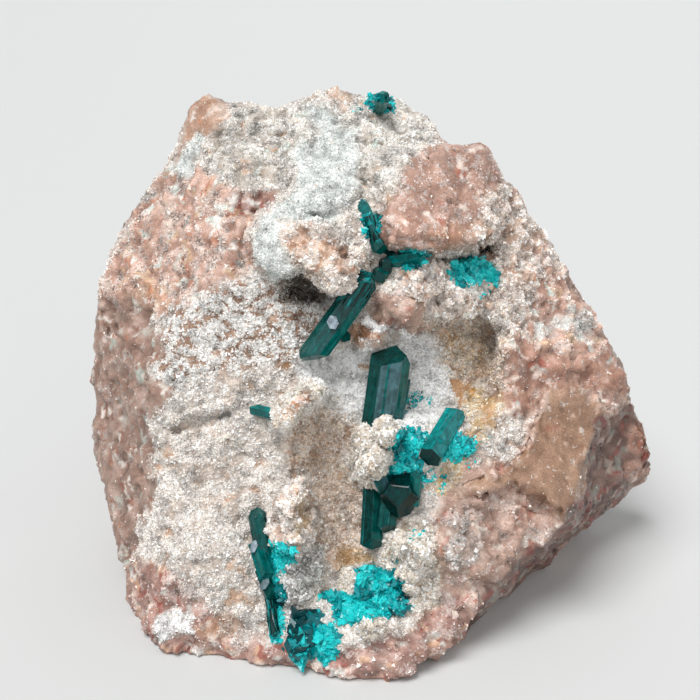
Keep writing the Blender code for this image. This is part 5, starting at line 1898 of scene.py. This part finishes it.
DIOPTASE = (
    DioptaseGroup("centre_prism", (
        Prism((4.0, -8.9, 0.3), (5.3, 0.4, 3.0), 5.0, 0.85, 0.04, 7, 0.08, sheen=0.8, cap=0.4,
              tip_faces=((-0.36, -0.61, -0.5), (1.1, 0.3, 0.9), (-0.6, 0.9, 0.6))),
        Prism((6.0, -8.0, 0.7), (7.0, -3.2, 2.6), 1.7, 1.0, 0.3, 3, 0.05, sheen=0.3),
    )),
    DioptaseGroup("long_prism", (
        Prism((0.8, 7.0, 0.5), (-5.4, -1.6, 1.7), 3.4, 0.9, 0.08, 4, 0.05, sheen=0.1,
              glow=0.03, tip_faces=((0.9, 0.1, 0.8), (-0.9, -0.1, -0.7), (0.1, -0.9, 0.5))),
        Prism((-1.7, 3.7, 0.9), (2.3, 9.3, 2.0), 3.3, 0.9, 0.3, 4, 0.1, etched=1.3,
              tip_faces=BLUNT_END),
        Prism((-1.9, 2.6, 0.5), (0.2, 1.0, 1.3), 1.5, 1.0, 0.2, 3, 0.05),
        # A small plate in the body whose flat end carries a painted glint
        Prism((-2.2, 3.4, 3.0), (-2.15, 3.45, 4.4), 1.9, 0.8, 0.3, 1, sheen=0.8,
              tip_faces=FLAT_END),
    )),
    DioptaseGroup("slanted_prism", (
        Prism((10.3, -12.9, 1.6), (13.3, -7.9, 3.6), 3.1, 0.9, 0.2, 5, 0.1, sheen=0.25,
              glow=0.42, tip_faces=((0.8, 0.1, -0.2), (-0.7, -0.5, 0.5), (-0.4, 0.9, 0.5))),
        Prism((11.0, -11.8, 1.8), (9.4, -13.9, 1.6), 1.6, 1.0, 0.4, 3, 0.06, glow=0.5),
    ), (
        Crust(((12.4, -11.0), (13.4, -10.4), (14.8, -11.4), (15.7, -12.2), (15.0, -13.0),
               (14.2, -12.9), (13.6, -13.9), (12.7, -13.3), (11.6, -13.3)), 0.8, 0.8, 0.95),
    )),
    DioptaseGroup("vein_crystals", (
        Prism((2.9, 15.4, 0.3), (1.2, 18.9, 1.3), 1.5, glow=0.25),
        Prism((2.9, 14.4, 0.3), (3.2, 17.2, 1.1), 1.9, etched=0.5, glow=0.1),
        Prism((2.8, 16.0, 0.4), (3.9, 11.6, 1.2), 2.2, etched=0.6),
        Prism((3.2, 13.2, 0.3), (6.0, 12.0, 1.4), 2.4, glow=-0.5),
        Prism((5.6, 12.2, 0.5), (4.0, 10.0, 1.5), 1.9, sheen=0.3, glow=-0.3),
        Prism((6.6, 11.6, 0.4), (2.9, 8.8, 1.4), 2.1, glow=-0.1),
        Prism((5.4, 11.2, 0.3), (9.6, 12.0, 1.1), 1.8, glow=0.3),
    ), (
        Crust(((1.2, 18.4), (1.9, 18.6), (2.6, 16.8), (3.9, 16.8), (3.8, 15.0), (3.4, 13.4),
               (2.4, 13.6), (1.7, 15.8)), 0.6, 0.5, 0.5),
        Crust(((5.6, 11.6), (7.0, 12.5), (9.6, 12.3), (9.4, 11.0), (7.6, 9.8), (6.4, 10.4)),
              0.7, 0.6, 0.75),
    )),
    DioptaseGroup("ledge_crystals", (), (
        Crust(((12.5, 9.4), (13.0, 11.0), (14.4, 11.8), (16.6, 11.2), (18.2, 9.8),
               (18.3, 8.2), (16.6, 9.0), (15.0, 8.2), (13.6, 7.7)), 0.9, 0.8, 0.9),
    )),
    DioptaseGroup("druse_crystals", (
        Prism((3.0, -17.2, -0.2), (2.6, -24.8, 1.6), 3.1, 1.0, 0.55, 3, 0.1, glow=-0.15,
              tip_faces=((0.9, 0.1, 0.2), (-0.7, -0.3, 0.0), (0.1, 0.9, 0.5))),
        Prism((6.6, -16.4, -1.6), (6.1, -19.4, 3.0), 4.9, 1.0, 0.3, 2, 0.06, glow=-0.75, cap=1.3,
              tip_faces=((0.8, 0.3, 0.6), (-0.8, 0.2, 0.4), (0.1, -0.7, 0.5))),
        Prism((4.8, -19.4, 0.3), (4.4, -22.6, 1.6), 2.6, 1.0, 0.4, 2, 0.06, glow=-0.25,
              tip_faces=BLUNT_END),
        Prism((8.0, -18.6, 0.8), (8.4, -14.8, 1.6), 1.6, 1.0, 0.2, 2, 0.05, glow=0.05),
        Prism((4.8, -18.0, 1.0), (3.6, -15.6, 1.3), 2.0, 0.8, 0.3, 3, 0.08, sheen=0.7,
              glow=0.1, tip_faces=BLUNT_END),
    ), (
        Crust(((6.6, -9.6), (7.9, -9.9), (9.2, -10.1), (9.6, -11.5), (8.6, -12.1),
               (8.3, -13.1), (8.9, -14.8), (9.6, -16.4), (8.9, -17.2), (7.9, -16.0),
               (6.8, -15.0), (5.8, -15.5), (4.9, -16.5), (4.3, -16.2), (4.8, -14.8),
               (6.0, -14.0), (5.8, -13.2), (4.9, -12.4), (5.6, -11.1)), 0.75, 0.8, 0.8),
    )),
    DioptaseGroup("blade_crystals", (
        Prism((-10.7, -25.9, 0.2), (-11.7, -20.2, 1.4), 2.2, 1.0, 0.1, 4, 0.08, glow=0.04,
              tip_faces=BLUNT_END),
        Prism((-11.5, -24.8, 0.4), (-10.1, -29.2, 1.4), 2.3, 1.0, 0.4, 4, 0.08, glow=0.15),
        Prism((-10.9, -28.2, 0.2), (-9.5, -31.4, 1.3), 1.7, 1.0, 0.2, 3, 0.06, glow=-0.3),
        Prism((-10.2, -30.4, 0.2), (-9.3, -36.2, 0.9), 1.3, etched=1.4, glow=0.1),
        # Small plates whose flat ends carry painted glints
        Prism((-12.0, -24.6, 0.4), (-12.02, -24.55, 1.4), 0.9, 2.0, 0.3, 1, sheen=0.7,
              tip_faces=FLAT_END),
        Prism((-10.7, -29.2, 0.7), (-10.66, -29.23, 1.7), 1.0, 1.8, 0.5, 1, sheen=0.35,
              tip_faces=FLAT_END),
    ), (
        Crust(((-10.6, -24.4), (-8.6, -24.0), (-6.7, -25.0), (-7.0, -26.4), (-8.4, -26.8),
               (-8.2, -27.8), (-10.0, -27.6)), 0.75, 0.6, 0.95),
        Crust(((-11.2, -26.2), (-9.4, -26.4), (-8.8, -28.6), (-9.4, -29.4), (-10.6, -29.2)),
              0.7, 0.6, 0.7),
        Crust(((-9.8, -29.6), (-8.0, -29.4), (-7.9, -31.4), (-9.4, -32.0)), 0.8, 0.5, 0.25),
        Crust(((-10.0, -31.8), (-8.7, -31.8), (-8.3, -34.4), (-8.9, -36.6), (-9.8, -36.2)),
              0.65, 0.5, 0.9),
    )),
    DioptaseGroup("crown_crystals", (
        Prism((2.9, 30.0, -0.2), (2.4, 31.4, 0.8), 1.5, etched=1.2, glow=0.2),
        Prism((3.7, 30.0, -0.2), (4.2, 31.9, 1.0), 1.9, glow=0.25),
        Prism((4.6, 30.0, -0.2), (5.5, 30.9, 0.9), 1.5, glow=0.05),
    ), (
        Crust(((1.9, 30.8), (2.8, 32.0), (4.8, 31.8), (5.7, 30.2), (4.6, 29.7), (2.6, 30.0)),
              0.7, 0.6, 0.6),
    )),
    DioptaseGroup("low_druse", (), (
        Crust(((0.8, -27.5), (2.9, -27.2), (4.4, -27.3), (4.6, -30.0), (4.9, -33.3),
               (2.1, -33.2), (0.8, -34.2), (-1.9, -33.6), (-1.5, -32.0), (-2.2, -31.1),
               (-4.0, -30.7), (-3.3, -30.4), (-1.5, -30.4), (0.7, -30.8), (1.0, -28.9)),
              0.9, 0.8, 0.9),
        Crust(((4.4, -27.4), (6.4, -28.6), (6.8, -30.4), (6.9, -31.8), (7.8, -32.1),
               (5.6, -33.2), (4.6, -33.4), (4.4, -30.0)), 0.8, 0.9, 0.35),
    )),
    DioptaseGroup("low_fan", (), (
        Crust(((-7.2, -34.6), (-6.4, -33.4), (-5.2, -32.8), (-4.0, -33.4), (-4.5, -34.6),
               (-4.0, -35.4), (-5.2, -36.4), (-5.8, -37.4), (-7.4, -37.6), (-7.0, -36.2)),
              2.0, 0.8, 0.14, 12.0),
        Crust(((-7.4, -37.2), (-5.4, -37.0), (-4.5, -35.6), (-4.9, -37.6), (-5.6, -38.2),
               (-5.9, -39.4), (-6.7, -38.9)), 1.2, 0.6, 0.65),
        Crust(((-3.9, -35.4), (-2.4, -34.2), (-1.9, -35.4), (-1.2, -35.9), (-2.0, -37.2),
               (-1.9, -38.2), (-3.2, -39.5), (-3.6, -38.0), (-4.3, -37.4)), 0.9, 0.6, 0.95),
    )),
    DioptaseGroup("tiny_crystal", (
        Prism((-11.5, -7.6, 0.5), (-8.1, -8.4, 0.8), 1.6, 1.0, 0.2, 3, 0.03, glow=0.15),
    )),
)

# Bits of dioptase strewn between the crystals
SPRINKLES = (
    Crust(((7.0, -5.2), (9.6, -5.6), (11.0, -6.4), (9.4, -7.6), (7.2, -7.2)), 0.5, 0.1, 0.7, 6.0),
    Crust(((6.6, -5.8), (8.2, -5.2), (9.0, -6.0), (7.8, -7.2), (6.8, -8.4)), 0.6, 0.1, 0.55, 20.0),
    Crust(((9.4, -14.2), (12.0, -15.0), (12.2, -18.4), (9.8, -18.0)), 0.45, 0.1, 0.9, 3.0),
    Crust(((14.6, -11.0), (17.6, -10.6), (17.0, -13.6), (14.0, -15.0)), 0.4, 0.1, 0.9, 2.0),
    Crust(((7.2, -22.4), (8.8, -22.6), (9.0, -24.2), (7.4, -24.0)), 0.6, 0.1, 1.0, 6.0),
    Crust(((5.2, -25.4), (6.2, -25.6), (6.2, -26.8), (5.2, -26.6)), 0.6, 0.1, 0.3, 7.0),
    Crust(((0.2, 29.4), (1.4, 29.6), (1.6, 31.0), (0.4, 30.8)), 0.6, 0.1, 0.8, 5.0),
    Crust(((16.2, 7.4), (17.6, 7.6), (17.6, 6.6), (16.4, 6.4)), 0.5, 0.1, 0.7, 5.0),
    Crust(((-8.0, -34.0), (-7.0, -34.4), (-7.2, -37.6), (-8.4, -37.0)), 0.4, 0.1, 0.7, 3.0),
)


@dataclass
class Dioptase:
    """All the dioptase of the specimen.

    Args:
        skin: the rock's skin, on which it grows.
        seed: the seed of the small crystals.
        palette: colours of the small crystals from dark to bright, as sRGB hex.
        crust_edge: how wide the edge of a crust fades, in millimetres.
        fray: how far a crust's crystals stray over its edge, in millimetres.
        axes: the large crystals' ends and radii, filled as they are made.
    """

    skin: RockSkin
    seed: int = 61
    palette: tuple[str, ...] = ("#013c40", "#027a80", "#04a8ae", "#27dcdd")
    crust_edge: float = 0.01
    fray: float = 0.18
    axes: list[tuple[np.ndarray, np.ndarray, float]] = field(default_factory=list)

    def build(self) -> None:
        """Models every group and the bits between them."""
        self.deep = DeepDioptase().make()
        self.bright = TURQUOISE_DIOPTASE.make()
        self.shard = self.shard_template()
        for group in DIOPTASE:
            rng = np.random.default_rng(self.seed + len(group.node))
            made = []
            if group.prisms:
                made.append(self.prisms(group, rng))
            if group.crusts:
                made.append(self.shards(f"{group.node}_druse", group.crusts, rng))
            for piece in made:
                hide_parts(group.node)
        self.shards("dioptase_bits", SPRINKLES, np.random.default_rng(self.seed))

    @staticmethod
    def shard_template() -> Template:
        """A small blade of dioptase with a slanted end, one unit long."""
        bm = bmesh.new()
        bmesh.ops.create_cone(
            bm, cap_ends=True, segments=4, radius1=0.5, radius2=0.42, depth=1.0,
            matrix=Matrix.Translation((0.0, 0.0, 0.2)),
        )
        cut_end(bm, 0.6, (0.8, 0.3, 1.0))
        return Template.of(bm)

    def prisms(self, group: DioptaseGroup, rng: np.random.Generator) -> bpy.types.Object:
        """Models the large crystals of a group as one piece."""
        maker = CrystalMaker(self.skin, rng)
        bm = bmesh.new()
        for prism in group.prisms:
            maker.add(bm, prism)
            base, tip = (np.array(end) / MM for end in maker.ends(prism))
            self.axes.append((base + 0.2 * (tip - base), tip, 0.46 * prism.width))
        mesh = mesh_from_bmesh(bm, f"{group.node}_faces")
        mesh.shade_flat()
        return self.finish(add_object(mesh.name, mesh), self.deep)

    @staticmethod
    def finish(piece: bpy.types.Object, material: bpy.types.Material) -> bpy.types.Object:
        """Dresses a piece and lets it ride with the rock."""
        piece.data.materials.append(material)
        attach(piece, "root")
        LOG.info("%s: %d faces", piece.name, len(piece.data.polygons))
        return piece

    def shards(
        self, name: str, crusts: tuple[Crust, ...], rng: np.random.Generator
    ) -> bpy.types.Object:
        """Models the small crystals of some crusts.

        Args:
            name: the piece's name.
            crusts: the crusts.
            rng: the source of random numbers.

        Returns:
            The piece.
        """
        places, axes, flats, sizes, tints = [], [], [], [], []
        palette = [np.array(linear(colour)) for colour in self.palette]
        for crust in crusts:
            outline = np.array(crust.outline)
            centre = outline.mean(axis=0)
            low, high = outline.min(axis=0), outline.max(axis=0)
            spots = rng.uniform(low, high, (int(crust.density * np.prod(high - low)), 2))
            ragged = rng.normal(0.0, self.fray, len(spots))
            inside = within(crust.outline, self.crust_edge, *spots.T, ragged) > 0.5
            for a, b in spots[inside]:
                out = (np.array((a, b)) - centre) / (0.5 * (high - low))
                inner = max(0.0, 1.0 - float(out @ out))
                height = rng.uniform(0.0, 0.45) * crust.lift * inner
                point = self.skin.on_skin(a, b, height)
                normal = np.array(self.skin.normal_at(point))
                lean = out[0] * SIGHT.across + out[1] * SIGHT.upward
                axis = rng.normal(size=3) + 0.2 * lean
                axis -= rng.uniform(0.3, 1.0) * (axis @ normal) * normal
                places.append(np.array(point) / MM)
                axes.append(axis / np.linalg.norm(axis))
                flats.append(normal + 0.55 * rng.normal(size=3))
                length = crust.size * rng.uniform(0.45, 1.0) ** 1.5 * 1.3
                wide, thick = length * rng.uniform(0.6, 1.1), length * rng.uniform(0.25, 0.5)
                sizes.append((wide, thick, length))
                cloud = 0.8 * self.skin.noise.at(np.array(point)[None] / MM, 1.3)[0]
                bright = crust.lightness + cloud + rng.normal(0.0, 0.14)
                bright = min(max(bright, 0.0), 0.999) * (len(palette) - 1.0)
                step = int(bright)
                tints.append(palette[step] + (palette[step + 1] - palette[step]) * (bright - step))
        axes = np.array(axes)
        side = np.cross(np.array(flats), axes)
        side /= np.linalg.norm(side, axis=1)[:, None]
        frames = np.stack((side, np.cross(axes, side), axes), axis=2)
        frames *= np.array(sizes)[:, None, :]
        piece = repeated(name, self.shard, frames, np.array(places), np.array(tints))
        return self.finish(piece, self.bright)


@dataclass(frozen=True)
class SoftLight:
    """One wide soft light, so far off that it lights everything evenly.

    Args:
        name: its name.
        toward: the direction from the specimen to the light.
        power: how strong it is, in watts per square metre.
        spread: how wide it looks from the specimen, in radians.
    """

    name: str
    toward: tuple[float, float, float]
    power: float
    spread: float

    def hang(self) -> None:
        """Adds the light."""
        lamp = bpy.data.lights.new(self.name, "SUN")
        lamp.energy = self.power
        lamp.angle = self.spread
        holder = add_object(self.name, lamp)
        holder.rotation_euler = Vector(self.toward).to_track_quat("Z", "Y").to_euler()


@dataclass(frozen=True)
class Studio:
    """The pale floor, the soft lights and the camera.

    Args:
        floor_colour: colour of the floor, as sRGB hex.
        floor_reach: how far the floor runs from the specimen, in metres.
        room_colour: colour of the light that the room gives, as sRGB hex.
        room_light: how strong that light is.
        sensor: width of the camera's sensor, in millimetres.
        focal: the lens's focal length, in picture points.
        picture: width of the picture, in picture points.
        lights: the soft lights.
    """

    floor_colour: str = "#c9cac9"
    floor_reach: float = 40.0
    room_colour: str = "#eef1f4"
    room_light: float = 0.29
    sensor: float = 36.0
    focal: float = 1000.0
    picture: float = 700.0
    lights: tuple[SoftLight, ...] = (
        SoftLight("sky_light", (-0.30, -0.30, 0.88), 3.05, math.radians(34.0)),
        SoftLight("front_light", (0.15, -0.9, 0.45), 0.7, math.radians(60.0)),
        SoftLight("right_light", (0.8, -0.1, 0.5), 0.35, math.radians(60.0)),
        SoftLight("back_light", (0.2, 0.8, 0.5), 0.5, math.radians(60.0)),
    )

    def build(self) -> None:
        """Makes everything that isn't the specimen."""
        self.lay_floor()
        for light in self.lights:
            light.hang()
        world = bpy.data.worlds.new("soft_room")
        world.use_nodes = True
        background = world.node_tree.nodes["Background"]
        background.inputs["Color"].default_value = linear(self.room_colour) + (1.0,)
        background.inputs["Strength"].default_value = self.room_light
        bpy.context.scene.world = world
        self.place_camera()
        bpy.context.scene.view_settings.view_transform = "Standard"

    def lay_floor(self) -> None:
        """Lays the floor."""
        bm = bmesh.new()
        bmesh.ops.create_grid(bm, x_segments=1, y_segments=1, size=self.floor_reach)
        floor = add_object("floor", mesh_from_bmesh(bm, "floor"))
        made = bpy.data.materials.new("pale_floor")
        made.use_nodes = True
        shader = made.node_tree.nodes["Principled BSDF"]
        shader.inputs["Base Color"].default_value = linear(self.floor_colour) + (1.0,)
        shader.inputs["Roughness"].default_value = 0.75
        floor.data.materials.append(made)

    def place_camera(self) -> None:
        """Puts the camera at the eye of the sight plane."""
        lens = bpy.data.cameras.new("view")
        lens.sensor_width = self.sensor
        lens.lens = self.sensor * self.focal / self.picture
        lens.clip_start = 5.0 * MM
        holder = add_object("view", lens)
        holder.location = Vector(SIGHT.eye) * MM
        holder.rotation_euler = (math.pi / 2.0 - SIGHT.pitch, 0.0, 0.0)
        bpy.context.scene.camera = holder


def main() -> None:
    """Builds the specimen and its studio."""
    logging.basicConfig(level=logging.INFO, format="%(message)s")
    skin = RockSkin()
    skin.build()
    LOG.info("rock_skin: %d faces", len(skin.piece.data.polygons))
    dioptase = Dioptase(skin)
    dioptase.build()
    QuartzDruse(skin, dioptase.axes).build()
    Studio().build()


if __name__ == "__main__":
    main()
